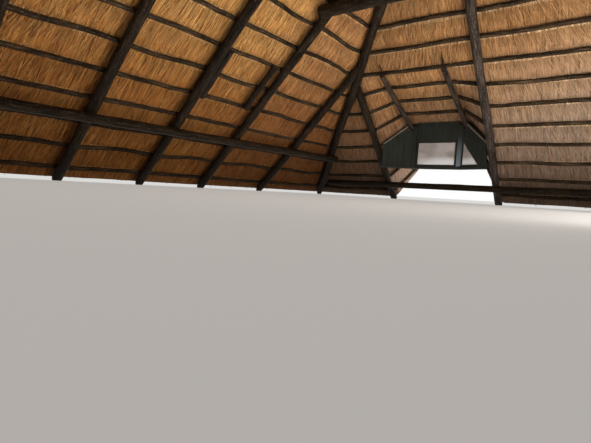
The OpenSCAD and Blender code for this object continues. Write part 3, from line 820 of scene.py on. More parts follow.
def batten(build, p, q, up, seed, size, slack):
    """A crooked stick from p to q that bows within the slope between its fixings."""
    rng = np.random.default_rng(seed)
    p, q, up = (np.asarray(v, float) for v in (p, q, up))
    length = np.linalg.norm(q - p)
    v = np.linspace(0, length, max(3, int(length / BATTEN_STEP)))
    axis = (q - p) / length
    side = np.cross(up, axis)
    hold = np.clip(np.minimum(v, length - v) / FREE_END, 0, 1)
    bows = wander(rng, v, slack, 4, 6.0) + wander(rng, v, FINE_BOW, 3, 24.0)
    path = p + axis * v[:, None] + side * (hold * bows)[:, None]
    path -= up * np.abs(wander(rng, v, BATTEN_SAG))[:, None]
    taper = rng.uniform(-0.08, 0.08)
    radii = pole_radii(rng, len(v), BATTEN_SIDES, length, taper, 1.6, 0.035) * size / 2
    points, uvs = tube(path, radii, up)
    build.grid(points, uvs + rng.uniform(0, 50))
    for ring, turn in ((points[0, :-1], 1), (points[-1, :-1], -1)):
        fan = np.concatenate([[ring.mean(axis=0)], ring])
        faces = [(0, *(1 + (i + 1) % BATTEN_SIDES, 1 + i)[::turn]) for i in range(BATTEN_SIDES)]
        build.add(fan, faces, np.zeros((len(fan), 2)), 1)
    lashings(build, path, axis, side, up, rng, size)


def lashings(build, path, axis, side, up, rng, size):
    """Loops of tarred twine that sew the straw to a batten, each with a knot."""
    length = np.linalg.norm(path[-1] - path[0])
    turn = np.linspace(*LASHING_ARC)
    radius = size / 2 * LASHING_FIT
    for start in np.arange(LASHING_FROM, length - LASHING_SHIFT, LASHING_GAP):
        at = (start + rng.uniform(-LASHING_SHIFT, LASHING_SHIFT)) / length * (len(path) - 1)
        i = min(int(at), len(path) - 2)
        centre = path[i] + (path[i + 1] - path[i]) * (at - i)
        slant = rng.uniform(*LASHING_SLANT) * rng.choice([-1, 1])
        hoop = (centre + side * (radius * np.cos(turn))[:, None] + up * (radius * np.sin(turn))[:, None]
                + axis * np.linspace(-slant, slant, len(turn))[:, None])
        knot(build, centre - up * radius, axis, side, up, rng)
        band = np.stack([hoop - axis * TWINE_HALF_W, hoop + axis * TWINE_HALF_W], axis=1)
        uvs = np.stack(np.broadcast_arrays(np.array([0, 0.005])[None], turn[:, None] * radius), -1)
        build.grid(band, uvs + rng.uniform(0, 9), 2)


def knot(build, centre, axis, side, up, rng):
    """A knot of twine, as a small eight-sided bead."""
    size = rng.uniform(*TWINE_KNOT)
    points = [centre + d * size for d in (axis, side, -axis, -side, -up, up)]
    faces = [(i, (i + 1) % 4, 4) for i in range(4)] + [((i + 1) % 4, i, 5) for i in range(4)]
    build.add(points, faces, rng.uniform(0, 9, (6, 2)), 2)


def batten_piece(side, node, build):
    build.piece(f"sticks_{side}", [BATTEN_POLE, POLE_END, TWINE], "batten_pole", [node])


def make_battens():
    """Battens of the four slopes; the far ones leave room for the hood."""
    for name, mx in (("left", 1), ("right", -1)):
        build = Build()
        for j in range(ROWS + 1):
            d = row_d(j)
            reach = HALF + d - BATTEN_GAP - RB * 0.5
            batten(build, (-d * mx, -reach, plane_z(d)), (-d * mx, reach, plane_z(d)),
                   (-SIN * mx, 0, COS), 1000 + 40 * mx + j, SIDE_BATTEN, SIDE_BOW)
        batten_piece(name, f"battens_{name}", build)
    for name, my in (("far", 1), ("near", -1)):
        build = Build()
        for j in range(ROWS + 1):
            d = row_d(j)
            reach = d - BATTEN_GAP - RB * 0.5
            spans = [(-reach, reach)]
            if my == 1 and j < HOOD_ROW:
                spans = [(-reach, -HOOD_W - BATTEN_GAP), (BATTEN_GAP, reach)]
            for i, (x0, x1) in enumerate(spans):
                batten(build, (x0, my * (HALF + d), plane_z(d)), (x1, my * (HALF + d), plane_z(d)),
                       (0, SIN * my, COS), 2000 + 40 * my + 2 * j + i, STOUT_BATTEN, END_BOW)
        batten_piece(name, f"battens_{name}", build)
    make_hood_battens()


def make_hood_battens():
    """Each row has three sticks, mitred where they bend."""
    build = Build()
    for k in range(1, HOOD_ROW + 1):
        for c in range(3):
            p, q = hood_node(c, k), hood_node(c + 1, k)
            axis = (q - p) / np.linalg.norm(q - p)
            lean = TH if c == 1 else (TH + T) / 2
            up = unit(np.cross(axis, [0, 1, -lean]))
            trim = HOOD_MIDDLE_TRIM if c == 1 else RB * math.tan(bend(k) / 2)
            batten(build, p + axis * trim, q - axis * trim, up, 3000 + 3 * k + c, STOUT_BATTEN, HOOD_BOW)
    batten_piece("hood", "hood_battens", build)


# Straw coat: each slope has an underside and a top, which are sheets of rows down the slope

SLOPES = ("left", "far", "right", "near")
SHIFT = {slope: 40.0 * number for number, slope in enumerate(SLOPES)}
UNDER_GRID = {"left": (152, 210), "far": (152, 210), "right": (90, 110), "near": (90, 110)}
OVER_GRID = {"left": (84, 140), "far": (100, 150), "right": (84, 140), "near": (84, 120)}
STEEP_ROWS = (EDGE_RUN - HOOD_D) / STEP
FLAT_ROWS = (HOOD_RUN - HOOD_D) / HOOD_STEP
TOP_COURSES = HOOD_D / STEP
LOW_RISE = STRAW_LIFT / COS
HIGH_RISE = (STRAW_LIFT + STRAW_T) / COS
HIP_ROUND = 0.34
FOLD_ROUND = {"low": 0.10, "high": 0.34}
CALM_BY_HIP = {"low": 0.12, "high": 0.25}
RIDGE_START = 0.03
UNDER_SAG = 0.007
UNDER_MOST = 0.003
OVER_SINK = 0.012
COURSE_SHIFT = (7.31, 0.37)
BEND_STEPS = 33
HIP_POINTS = 60
EAVE_UV, LOOSE_UV, BUTT_UV, TOP_UV, FRINGE_UV = 300, 500, 700, 900, 950
TOP_POINTS = 40
EAVE_POINTS = 420
EAVE_STEPS = 5
EAVE_LEAN = -0.6
EAVE_BULGE = 0.010
EAVE_FRAY = 0.007
TINY = 1e-9
LUMPS = Field(5, 0.42, 0.60)
BUNDLES = Field(6, 0.11, 0.50)
WAVES = Field(7, 1.30, 1.10)
FRAY = Field(8, 0.035, 0.30)
SWINGS = Field(11, 0.50, 0.34)
SMALL_SWINGS = Field(12, 0.17, 0.20)
RAGGED = Field(13, 0.09, 1.0)


def rounded(gap, reach):
    """How much a fold is lowered at a gap from it, for a smooth rounding."""
    return reach / 4 * np.clip(1 - gap / reach, 0, 1) ** 2


def share(tau, end):
    """Share of the way down the hood at a row number that runs from 0 to one past the last."""
    last = HOOD_ROW / end
    return np.where(tau <= HOOD_ROW, tau / end, last + (tau - HOOD_ROW) * (1 - last))


def down_line(form, side, s):
    """Plan distance, height and slope length at a share of the way down, on a side of the coat."""
    if form == "steep":
        pitch, run, end = PITCH, EDGE_RUN, plane_z(EDGE_RUN) + LOW_RISE
    else:
        pitch, run, end = HOOD_PITCH, HOOD_RUN, flat_z(HOOD_RUN) + STRAW_LIFT / COS_H
    start = HOOD_Z + LOW_RISE
    if side == "high":
        start = HOOD_Z + HIGH_RISE
        run += STRAW_T * math.sin(pitch)
        end += STRAW_T * math.cos(pitch)
    d = HOOD_D + s * (run - HOOD_D)
    return d, start + s * (end - start), HOOD_D / COS + (d - HOOD_D) / math.cos(pitch)


def hood_weight(x, tau, side):
    """1 over the hood's flat middle, 0 on the far slope, between them in the side bays."""
    rows = np.linspace(0, HOOD_ROW + 1, BEND_STEPS)
    half_bend = np.interp(tau, rows, [bend(k) for k in rows]) / 2
    out = (STRAW_LIFT if side == "low" else STRAW_LIFT + STRAW_T) * np.tan(half_bend)
    w = (HOOD_W / 2 - (np.abs(x + HOOD_W / 2) - out)) / SIDE_W
    soft = FOLD_ROUND[side]
    return np.clip(w, 0, 1) + rounded(np.abs(w), soft) - rounded(np.abs(w - 1), soft)


def upper_rows(down, side):
    """Number of a sheet's rows that lie above the hood's top."""
    span = EDGE_RUN if side == "low" else EDGE_RUN + STRAW_T * SIN
    return int(down * HOOD_D / span)


def coat_sheet(slope, side, down, across):
    """Places of a sheet along its eave, out from its ridge and up, with their lengths down the
    slope and their gaps from the hips."""
    upper = upper_rows(down, side)
    d_top = np.linspace(RIDGE_START, HOOD_D, upper, endpoint=False)
    z_top = APEX + (LOW_RISE if side == "low" else HIGH_RISE) - d_top * T
    tau = np.linspace(0, HOOD_ROW + 1, down - upper)
    d_low, z_low, v_low = down_line("steep", side, share(tau, STEEP_ROWS))
    d, z, v = (np.concatenate(pair)[:, None]
               for pair in ((d_top, d_low), (z_top, z_low), (d_top / COS, v_low)))
    half = d if slope in ("far", "near") else d + HALF
    a = half * np.linspace(-1, 1, across)[None]
    d, z, v = (np.broadcast_to(m, a.shape).copy() for m in (d, z, v))
    if slope == "far":
        weight = hood_weight(a[upper:], tau[:, None], side)
        for steep, flat in zip((d, z, v), down_line("flat", side, share(tau, FLAT_ROWS))):
            steep[upper:] += weight * (flat[:, None] - steep[upper:])
    return a, d, z, v, np.maximum(half - np.abs(a), 0)


def to_slope(slope, a, d, z):
    """Roof places, from places along a slope's eave, out from its ridge and up."""
    places = {"left": (-d, a, z), "right": (d, -a, z), "far": (a, HALF + d, z), "near": (-a, -HALF - d, z)}
    return np.stack(places[slope], -1)


def normals(points):
    """Upward normals of a sheet."""
    n = np.cross(np.gradient(points, axis=1), np.gradient(points, axis=0))
    n /= np.maximum(np.linalg.norm(n, axis=-1, keepdims=True), TINY)
    return n * np.sign(n[..., 2:] + TINY)


def courses(down):
    """Course of each row of an underside, 0 at the hood's top and negative above it."""
    upper = upper_rows(down, "low")
    r = np.arange(down)
    below = (r - upper) * (HOOD_ROW + 1) / (down - upper - 1)
    return np.floor(np.where(r < upper, (r / upper - 1) * TOP_COURSES, below) + 1e-6)


def row_of(course, down):
    """Row of an underside where a course starts."""
    upper = upper_rows(down, "low")
    if course < 0:
        return (course / TOP_COURSES + 1) * upper
    return upper + course * (down - upper - 1) / (HOOD_ROW + 1)


def under_sheet(slope):
    """The underside sags between battens. Its stalks swing a little, and each course has its own."""
    down, across = UNDER_GRID[slope]
    a, d, z, v, gap = coat_sheet(slope, "low", down, across)
    base = to_slope(slope, a, d, z)
    u = a + SHIFT[slope]
    sag = UNDER_SAG * np.sin(math.pi * (TAIL_RUN - FIRST_BATTEN - d) / STEP) ** 2
    push = (0.004 * LUMPS(u, v) + 0.003 * BUNDLES(u, v) - sag) * smooth_step(gap / CALM_BY_HIP["low"])
    points = base + normals(base) * np.minimum(push, UNDER_MOST)[..., None]
    swing = 0.012 * SWINGS(u, v) + 0.005 * SMALL_SWINGS(u, v)
    course = courses(down)[:, None]
    return points, np.stack([u + swing + course * COURSE_SHIFT[0], v + course * COURSE_SHIFT[1]], -1)


def over_sheet(slope):
    """The top is uneven, and rounded at its hips and its ridge."""
    a, d, z, v, gap = coat_sheet(slope, "high", *OVER_GRID[slope])
    z = z - rounded(gap, HIP_ROUND)
    if slope in ("left", "right"):
        z = z - rounded(d, HIP_ROUND)
    base = to_slope(slope, a, d, z)
    u = a + SHIFT[slope]
    push = 0.014 * WAVES(u, v) + 0.006 * LUMPS(u, v) + 0.004 * BUNDLES(u, v)
    push = push * smooth_step(gap / CALM_BY_HIP["high"]) - OVER_SINK
    return base + normals(base) * push[..., None], np.stack([u, v], -1)


def resample(row, count):
    """Points of a row at even shares of their numbers."""
    at = np.linspace(0, len(row) - 1, count)
    i = np.minimum(at.astype(int), len(row) - 2)
    return row[i] + (row[i + 1] - row[i]) * (at - i)[:, None]


def coat(slope):
    """Straw coat of one slope: underside in courses, top, cut edge of the eave, and joints."""
    build = Build()
    low, low_uv = under_sheet(slope)
    high, high_uv = over_sheet(slope)
    starts = [0, *(np.nonzero(np.diff(courses(len(low))))[0] + 1), len(low) - 1]
    for first, last in zip(starts[:-1], starts[1:]):
        uv = low_uv[first:last + 1].copy()
        if last < len(low) - 1:
            uv[-1] = uv[-2] + (uv[-2] - uv[-3])
        build.grid(low[first:last + 1], uv, 0, flip=True)
    build.grid(high, high_uv, 1)
    eave(build, slope, resample(low[-1], EAVE_POINTS), resample(high[-1], EAVE_POINTS))
    for column, flip in ((0, False), (-1, True)):
        sides = [resample(sheet[:, column], HIP_POINTS) for sheet in (low, high)]
        build.wall(sides, 2, flip, axis=1)
    build.wall([resample(sheet[0], TOP_POINTS) for sheet in (low, high)], 2)
    return build


def eave(build, slope, foot, brow):
    """Cut edge of an eave, frayed and a little rounded."""
    along = np.linspace(0, 1, EAVE_POINTS) * np.linalg.norm(foot[-1] - foot[0])
    out = to_slope(slope, 0.0, 1.0, EAVE_LEAN) - to_slope(slope, 0.0, 0.0, 0.0)
    edge = []
    for i in range(EAVE_STEPS + 1):
        s = i / EAVE_STEPS
        fray = EAVE_FRAY * FRAY(along, i * 0.7) if 0 < i < EAVE_STEPS else 0 * along
        swell = EAVE_BULGE * math.sin(math.pi * s) + fray
        edge.append(foot + (brow - foot) * s + out * swell[:, None])
    thick = np.linspace(0, STRAW_T, EAVE_STEPS + 1)[:, None]
    uv = np.stack(np.broadcast_arrays(along[None], thick), -1)
    build.grid(np.array(edge), uv + EAVE_UV, 2, flip=True)


TAPERED = (1.0, 0.9, 0.35)
BLUNT = (0.8, 1.0, 0.95)
STALK_BOW = 0.035
STALK_UV_W = 0.004

# Ranges of the stalks' lengths, widths and distances from the surface
LOOSE_L = (0.12, 0.32)
LIGHT_W, LIGHT_OFF = (0.0030, 0.0060), (0.001, 0.005)
DARK_W, DARK_OFF = (0.0034, 0.0080), (0.0006, 0.0012)
DARK_SHORTER = 0.62
BUTT_UNEVEN, BUTT_W, BUTT_OFF = (-0.005, 0.008), (0.004, 0.009), (0.004, 0.011)
BUTT_RAGGED = 0.007
STRAY_SHARE, STRAY_L = 0.03, (0.01, 0.03)
TOP_L, TOP_W, TOP_OFF = (0.05, 0.16), (0.003, 0.007), (0.002, 0.012)
FRINGE_L, FRINGE_UNEVEN, FRINGE_OFF = 0.028, (0.0, 0.022), (0.0, 0.004)
LONG_SHARE, LONG_MORE = 0.06, 0.020
FRINGE_BACK = 0.02

# How far the stalks lean from the fall line, as a standard deviation of its tangent
LOOSE_LEAN, BUTT_LEAN, TOP_LEAN, FRINGE_LEAN = 0.020, 0.09, 0.10, 0.16


def stalks(build, base, along, up, rng, lengths, widths, lift, u0, form=TAPERED, paint=0):
    """Loose stalks: narrow bent ribbons that lie on a surface and stand off it a little. Their
    places in the grain are picked at random from u0 on."""
    n = len(base)
    side = unit(np.cross(up, along))
    bow = rng.uniform(-STALK_BOW, STALK_BOW, (n, 1)) * lengths[:, None]
    points = []
    for s, height, wide in zip((0.0, 0.5, 1.0), (0.25, 0.9, 1.0), form):
        centre = base + along * (lengths * s)[:, None] + side * bow * math.sin(math.pi * s) \
            + up * (lift * height)[:, None]
        half = side * (widths * wide)[:, None] / 2
        points += [centre - half, centre + half]
    start = np.arange(n)[:, None] * 6
    quads = np.concatenate([start + [0, 1, 3, 2], start + [2, 3, 5, 4]])
    u, v = rng.uniform(0, 60, n) + u0, rng.uniform(0, 30, n)
    uvs = [np.stack([u + du, v + s * lengths], -1) for s in (0.0, 0.5, 1.0) for du in (0.0, STALK_UV_W)]
    build.add(np.stack(points, axis=1), quads, np.stack(uvs, axis=1), paint)


def surface_at(points, r, c):
    """Place on a sheet at fractional row and column numbers, with its downhill and up directions."""
    i = np.clip(r.astype(int), 0, points.shape[0] - 2)
    j = np.clip(c.astype(int), 0, points.shape[1] - 2)
    a, b = (r - i)[:, None], (c - j)[:, None]
    p00, p01, p10, p11 = points[i, j], points[i, j + 1], points[i + 1, j], points[i + 1, j + 1]
    place = (p00 * (1 - b) + p01 * b) * (1 - a) + (p10 * (1 - b) + p11 * b) * a
    down = unit(p10 + p11 - p00 - p01)
    up = unit(np.cross(p01 + p11 - p00 - p10, down))
    return place, down, up * np.sign(up[:, 2:] + TINY)


def leant(along, up, amount):
    """Directions turned sideways on a surface by an amount of their length."""
    return unit(along + np.cross(up, along) * amount)


def sheet_size(points):
    """Widths of a sheet's rows, depths between them and the areas there."""
    width = np.linalg.norm(points[:, -1] - points[:, 0], axis=1)
    depth = np.linalg.norm(np.diff(points[:, points.shape[1] // 2], axis=0), axis=1)
    return width, depth, (width[1:] + width[:-1]) / 2 * depth


def scattered(rng, points, area, count, margin):
    """Random row and column numbers on a sheet, even by area and a margin in from its sides."""
    row = np.searchsorted(np.cumsum(area) / area.sum(), rng.uniform(0, 1, count))
    row = row + rng.uniform(0, 1, count)
    return row, rng.uniform(margin, 1 - margin, count) * (points.shape[1] - 1)


def straw_piece(name, materials, build):
    build.piece(name, materials, "straw", smooth=False)


def loose_straw(slope, density, dark, swing, seed):
    """Stalks that stand proud of the underside, and dark ones that lie flat in its gaps as painted shade.
    """
    rng = np.random.default_rng(seed)
    points, _ = under_sheet(slope)
    rows, cols = points.shape[:2]
    width, depth, area = sheet_size(points)
    build = Build()
    # The second kind are dark stalks lying flat: painted shade in the gaps
    for paint, part, wide, lift, long in ((0, 1 - dark, LIGHT_W, LIGHT_OFF, 1.0),
                                          (1, dark, DARK_W, DARK_OFF, DARK_SHORTER)):
        count = int(density * area.sum() * part)
        row, col = scattered(rng, points, area, count, 0.004)
        place, down, up = surface_at(points, np.minimum(row, rows - 1.001), col)
        u, v = col / cols * width.mean() + SHIFT[slope], row * depth.mean()
        turn = -swing * SWINGS(u + 3.1, v) - rng.normal(0, LOOSE_LEAN, count)
        lengths = rng.uniform(*LOOSE_L, count) * long
        stalks(build, place, leant(-down, up, turn[:, None]), -up, rng, lengths,
               rng.uniform(*wide, count), rng.uniform(*lift, count), LOOSE_UV, paint=paint)
    light = STRAW_STALK_FAR if slope == "far" else STRAW_STALK
    straw_piece(f"loose_straw_{slope}", [light, STRAW_GAP_SHADE], build)


def course_butts(slope, per_metre, past, seed):
    """Cut ends of each course's stalks, which show as a pale ragged line just below its batten;
    their paleness is partly their own colour and partly painted light.
    """
    rng = np.random.default_rng(seed)
    points, _ = under_sheet(slope)
    rows, cols = points.shape[:2]
    build = Build()
    for course in range(HOOD_ROW - ROWS, HOOD_ROW + 1):
        r = row_of(course, rows)
        i = min(int(r), rows - 2)
        line = points[i] + (points[i + 1] - points[i]) * (r - i)
        steps = np.linalg.norm(np.diff(line, axis=0), axis=1)
        width = steps.sum()
        count = int(width * per_metre)
        at = np.sort(rng.uniform(0.03, width - 0.03, count))
        col = np.interp(at, np.concatenate([[0], np.cumsum(steps)]), np.arange(cols))
        place, down, up = surface_at(points, np.full(count, r), col)
        along = leant(down, up, rng.normal(0, BUTT_LEAN, (count, 1)))
        uneven = BUTT_RAGGED * (RAGGED(at, course) + SWINGS(at, course * 5.3))
        lengths = RB + past + uneven + rng.uniform(*BUTT_UNEVEN, count)
        stray = rng.uniform(0, 1, count) < STRAY_SHARE
        lengths += stray * rng.uniform(*STRAY_L, count)
        lift = rng.uniform(*BUTT_OFF, count)
        stalks(build, place, along, -up, rng, lengths, rng.uniform(*BUTT_W, count), lift, BUTT_UV, BLUNT)
    straw_piece(f"course_butts_{slope}", [STRAW_CUT_FAR if slope == "far" else STRAW_CUT], build)


def outer_straw(slope, per_area, per_metre, seed):
    """Stray stalks on the weathered top, and the ragged fringe of the eave's cut edge."""
    rng = np.random.default_rng(seed)
    points, _ = over_sheet(slope)
    under, _ = under_sheet(slope)
    rows, cols = points.shape[:2]
    width, _, area = sheet_size(points)
    count = int(per_area * area.sum())
    row, col = scattered(rng, points, area, count, 0.01)
    place, down, up = surface_at(points, np.minimum(row, rows - 3.2), col)
    along = leant(down, up, rng.normal(0, TOP_LEAN, (count, 1)))
    build = Build()
    lengths, widths, lift = (rng.uniform(*limits, count) for limits in (TOP_L, TOP_W, TOP_OFF))
    stalks(build, place, along, up, rng, lengths, widths, lift, TOP_UV)
    count = int(per_metre * width[-1])
    col = rng.uniform(0.01, 0.99, count)
    high, down, up = surface_at(points, np.full(count, rows - 1.001), col * (cols - 1))
    low, _, _ = surface_at(under, np.full(count, len(under) - 1.001), col * (under.shape[1] - 1))
    place = low + (high - low) * rng.uniform(0.02, 1.0, (count, 1)) - down * FRINGE_BACK
    sideways, outward = rng.normal(0, FRINGE_LEAN, (count, 1)), rng.normal(0, TOP_LEAN, (count, 1))
    along = unit(down + np.cross(up, down) * sideways + up * outward)
    lengths = FRINGE_L + rng.uniform(*FRINGE_UNEVEN, count)
    lengths = lengths + (rng.uniform(0, 1, count) < LONG_SHARE) * LONG_MORE
    stalks(build, place, along, up, rng, lengths, rng.uniform(*BUTT_W, count),
           rng.uniform(*FRINGE_OFF, count), FRINGE_UV, BLUNT)
    straw_piece(f"outer_straw_{slope}", [STRAW_OVER], build)


# For each slope: loose stalks on a square metre, the share of dark ones that paint shade in the gaps, how
# far they swing,
# butts on a metre, and how far the butts reach past a batten
COATS = {"left": (950, 0.24, 0.04, 130, 0.045), "far": (1250, 0.18, 0.03, 230, 0.058),
         "right": (140, 0.20, 0.04, 25, 0.045), "near": (140, 0.20, 0.04, 25, 0.045)}
OUTER_STALKS = 42
FRINGE_STALKS = 130
FAR_NODES = ("thatch_far_top", "thatch_far_left", "thatch_far_right", "hood_thatch_left",
             "hood_thatch_middle", "hood_thatch_right")


def make_coat():
    for slope in SLOPES:
        under = STRAW_FAR if slope == "far" else STRAW_UNDER
        nodes = FAR_NODES if slope == "far" else [f"thatch_{slope}"]
        coat(slope).piece(f"straw_coat_{slope}", [under, STRAW_OVER, STRAW_ENDS], "straw", nodes)
    for i, slope in enumerate(SLOPES):
        density, dark, swing, per_metre, past = COATS[slope]
        loose_straw(slope, density, dark, swing, 600 + i)
        course_butts(slope, per_metre, past, 620 + i)
        outer_straw(slope, OUTER_STALKS, FRINGE_STALKS, 640 + i)


# Ridge cap

CREST = 0.035
CAP_REACH = CAP_H / T + 0.04
CAP_GRID = (37, 110)
CAP_SINK = 0.008
CAP_KEY = 0.045


def crested(x, y):
    """Plan distance from the ridge line, rounded over the crest and over the hips."""
    over = np.abs(y) - HALF
    beside = np.sqrt(x ** 2 + CREST ** 2)
    beyond = (over + np.sqrt(over ** 2 + CREST ** 2)) / 2
    return (beside + beyond + np.sqrt((beside - beyond) ** 2 + CREST ** 2)) / 2


def make_ridge_cap():
    """Mortar cap with a rounded crest, trowelled by hand, its skirt uneven."""
    broad, fine = Field(9, 0.16, 0.21), Field(10, 0.05, 0.06)
    x, y = np.meshgrid(*(np.linspace(-reach, reach, steps)
                         for reach, steps in zip((CAP_REACH, HALF + CAP_REACH), CAP_GRID)))
    over = np.abs(y) - HALF
    uneven = 1 + 0.03 * broad(y * 0.7, 0 * y) * (x / CAP_REACH) ** 2
    y = np.sign(y) * (HALF + np.where(over > 0, over * (1 + 0.05 * broad(x, 0 * x + 5)), over))
    x = x * uneven
    away = crested(x, y)
    edge = np.clip((away - (CAP_REACH - CAP_T)) / CAP_T, 0, 1)
    thick = CAP_T / COS * np.sqrt(np.maximum(1 - edge ** 2, 0))
    hand = np.minimum(0.006 * broad(x, y) + 0.002 * fine(x, y), CAP_SINK)
    straw = APEX + HIGH_RISE - away * T
    surface = np.stack([x, y, straw + thick - CAP_SINK + hand], -1)
    base = np.stack([x, y, straw - CAP_KEY], -1)
    build = Build()
    build.grid(surface, surface[..., :2])
    build.grid(base, base[..., :2], flip=True)
    for at, flip in ((0, True), (-1, False)):
        build.wall((surface[at], base[at]), flip=flip)
    for at, flip in ((0, False), (-1, True)):
        build.wall((surface[:, at], base[:, at]), flip=flip)
    build.piece("mortar_ridge", [MORTAR], "mortar", ["ridge_cap"])


# Boarded screen

ROW_END = hood_node(3, SCREEN_ROW)
ROW_MID = hood_node(2, SCREEN_ROW)
BOARD_BACK = RB + BOARD_T / 2
LEAN = math.atan2(ROW_MID[1] - ROW_END[1], SIDE_W)
BOARD_Y = ROW_MID[1] - BOARD_BACK
KING_Y = ROW_END[1] - BOARD_BACK / math.cos(LEAN)
POST_X = (RAFTER_X[0] + RS + POST_W / 2, RAFTER_X[1] - RS - POST_W / 2)
FOLD_X = POST_X[1]
FOLD = math.atan2(BOARD_Y - KING_Y, -FOLD_X)
FOLD_COS = math.cos(FOLD)
PANEL_Z = ROW_MID[2] - SCREEN_H + SILL_H
CLEAR = 0.002
TOP_CLEAR = 0.003
KING_CLEAR = 0.012
MID_TOP = ROW_MID[2] + RB * TH + STRAW_LIFT / COS_H - TOP_CLEAR - PANEL_Z
MID_X = POST_X[0] + POST_W / 2
MID_LEN = FOLD_X - POST_X[0] - POST_W
SIDE_LEN = -FOLD_X / FOLD_COS
SIDE_FALL = (ROW_MID[2] - ROW_END[2]) * FOLD_COS / SIDE_W
BATTEN_FROM = -(SIDE_W + FOLD_X) / FOLD_COS
SIDE_START = (POST_W / 2) / FOLD_COS + CLEAR
SIDE_STOP = SIDE_LEN - (RR + KING_CLEAR) / FOLD_COS
NOTCH_U = SIDE_LEN * (RAFTER_X[1] + RS + CLEAR - FOLD_X) / -FOLD_X
NOTCH_Z = flat_z(BOARD_Y - HALF) - HOOD_DROP - RS / COS_H - PANEL_Z - CLEAR
CORNER_U = (POST_W / 2) / FOLD_COS + LIGHT_UP
LIGHT = (LIGHT_IN, MID_LEN - LIGHT_IN, LIGHT_UP, LIGHT_UP + LIGHT_H)
BOARD_W = 0.092
GROOVE = 0.003
GROOVE_DEEP = 0.018
LAYER_GAP = 0.0002
CONTACT = 0.0005
STRIP_ROUND, POST_ROUND, BEAD_ROUND = 0.007, 0.004, 0.002
BEAD_W = 0.012
BEAD_OUT = 0.006
BEAD_DEEP = 0.010
BEAD_SHORT = 0.02
STRIP_W = 0.036
STRIP_T = 0.020
STRIP_DROP = 0.006
STRIP_INSET = 0.004


def clip(polygon, a, b, c):
    """The part of a convex polygon where a x + b y is at most c."""
    out = []
    for i, p in enumerate(polygon):
        q = polygon[(i + 1) % len(polygon)]
        dp, dq = a * p[0] + b * p[1] - c, a * q[0] + b * q[1] - c
        if dp <= 0:
            out.append(p)
        if dp * dq < 0:
            s = dp / (dp - dq)
            out.append((p[0] + (q[0] - p[0]) * s, p[1] + (q[1] - p[1]) * s))
    return out


def round_square(outline):
    """Parts of an outline below, above and on both sides of the square light."""
    u0, u1, z0, z1 = LIGHT
    between = clip(clip(outline, 0, -1, -z0), 0, 1, z1)
    return [clip(outline, 0, 1, z0), clip(outline, 0, -1, -z1),
            clip(between, 1, 0, u0), clip(between, -1, 0, -u1)]


def round_corner(outline):
    """Parts of an outline below, beside and above the triangular light."""
    above = clip(outline, 0, -1, -LIGHT_UP)
    limit = LIGHT_H * CORNER_LIGHT_W + LIGHT_H * CORNER_U + CORNER_LIGHT_W * LIGHT_UP
    return [clip(outline, 0, 1, LIGHT_UP), clip(above, 1, 0, CORNER_U),
            clip(clip(above, -1, 0, -CORNER_U), -LIGHT_H, -CORNER_LIGHT_W, -limit)]


def slab(build, polygon, y0, y1, place):
    """A flat-sided board from a convex outline in the panel's plane."""
    n = len(polygon)
    if n < 3:
        return
    points = [place(p[0], y, p[1]) for y in (y0, y1) for p in polygon]
    for i in range(n):
        j = (i + 1) % n
        corners = (i, j, n + j, n + i)
        build.add([points[k] for k in corners], [[0, 1, 2, 3]], [polygon[k % n] for k in corners])
    for side, turn in ((points[:n], -1), (points[n:], 1)):
        for i in range(1, n - 1):
            build.add(side, [[0, *(i, i + 1)[::turn]]], polygon)


def stand(from_x, angle, mirrored=False):
    """Turns places in a panel's plane into the roof's, mirrored for the hood's left half."""
    c, s = math.cos(angle), math.sin(angle)

    def place(u, y, z):
        x = from_x + u * c + y * s
        return (-HOOD_W - x if mirrored else x, BOARD_Y - u * s + y * c, PANEL_Z + z)
    return place


PANELS = {"middle": stand(MID_X, 0.0), "right": stand(FOLD_X, FOLD), "left": stand(FOLD_X, FOLD, True)}


def board_panel(side, regions, length):
    """Vertical boards with open grooves over a thin backing."""
    build = Build()
    front = -BOARD_T / 2
    for region in regions:
        for i in range(math.ceil(length / BOARD_W)):
            strip = clip(region, -1, 0, -(i * BOARD_W + GROOVE / 2))
            strip = clip(strip, 1, 0, (i + 1) * BOARD_W - GROOVE / 2)
            slab(build, strip, front, front + GROOVE_DEEP, PANELS[side])
        slab(build, region, front + GROOVE_DEEP + LAYER_GAP, -front, PANELS[side])
    if side == "left":
        build.uvs = [u.reshape(len(f), -1, 2)[:, ::-1].reshape(-1, 2)
                     for f, u in zip(build.faces, build.uvs)]
        build.faces = [f[:, ::-1] for f in build.faces]
    build.piece(f"boards_{side}", [BOARD], "dark_board", [f"screen_{side}"], smooth=False)


def boxed(part, low, high):
    """Adds a box to a bmesh and gives its points."""
    made = bmesh.ops.create_cube(part, size=1.0)["verts"]
    low, high = Vector(low), Vector(high)
    for vert in made:
        vert.co = Vector(c * s for c, s in zip(vert.co, high - low)) + (low + high) / 2
    return made


def rounded_piece(name, part, width, materials, place=None, nodes=(), segments=2, profile=0.6):
    """Rounds the edges of a bmesh, stands it in its place and makes it a piece of the screen."""
    bmesh.ops.bevel(part, geom=part.edges[:], offset=width, segments=segments, profile=profile,
                    affect="EDGES")
    for vert in part.verts:
        vert.co = Vector(placed(place(*vert.co) if place else vert.co))
    bmesh.ops.recalc_face_normals(part, faces=part.faces)
    to_piece(name, from_bmesh(name, part), materials, nodes)


def rise(u):
    """Height of a side panel's top edge at a distance from the fold."""
    return ROW_MID[2] - (u - BATTEN_FROM) * SIDE_FALL - PANEL_Z


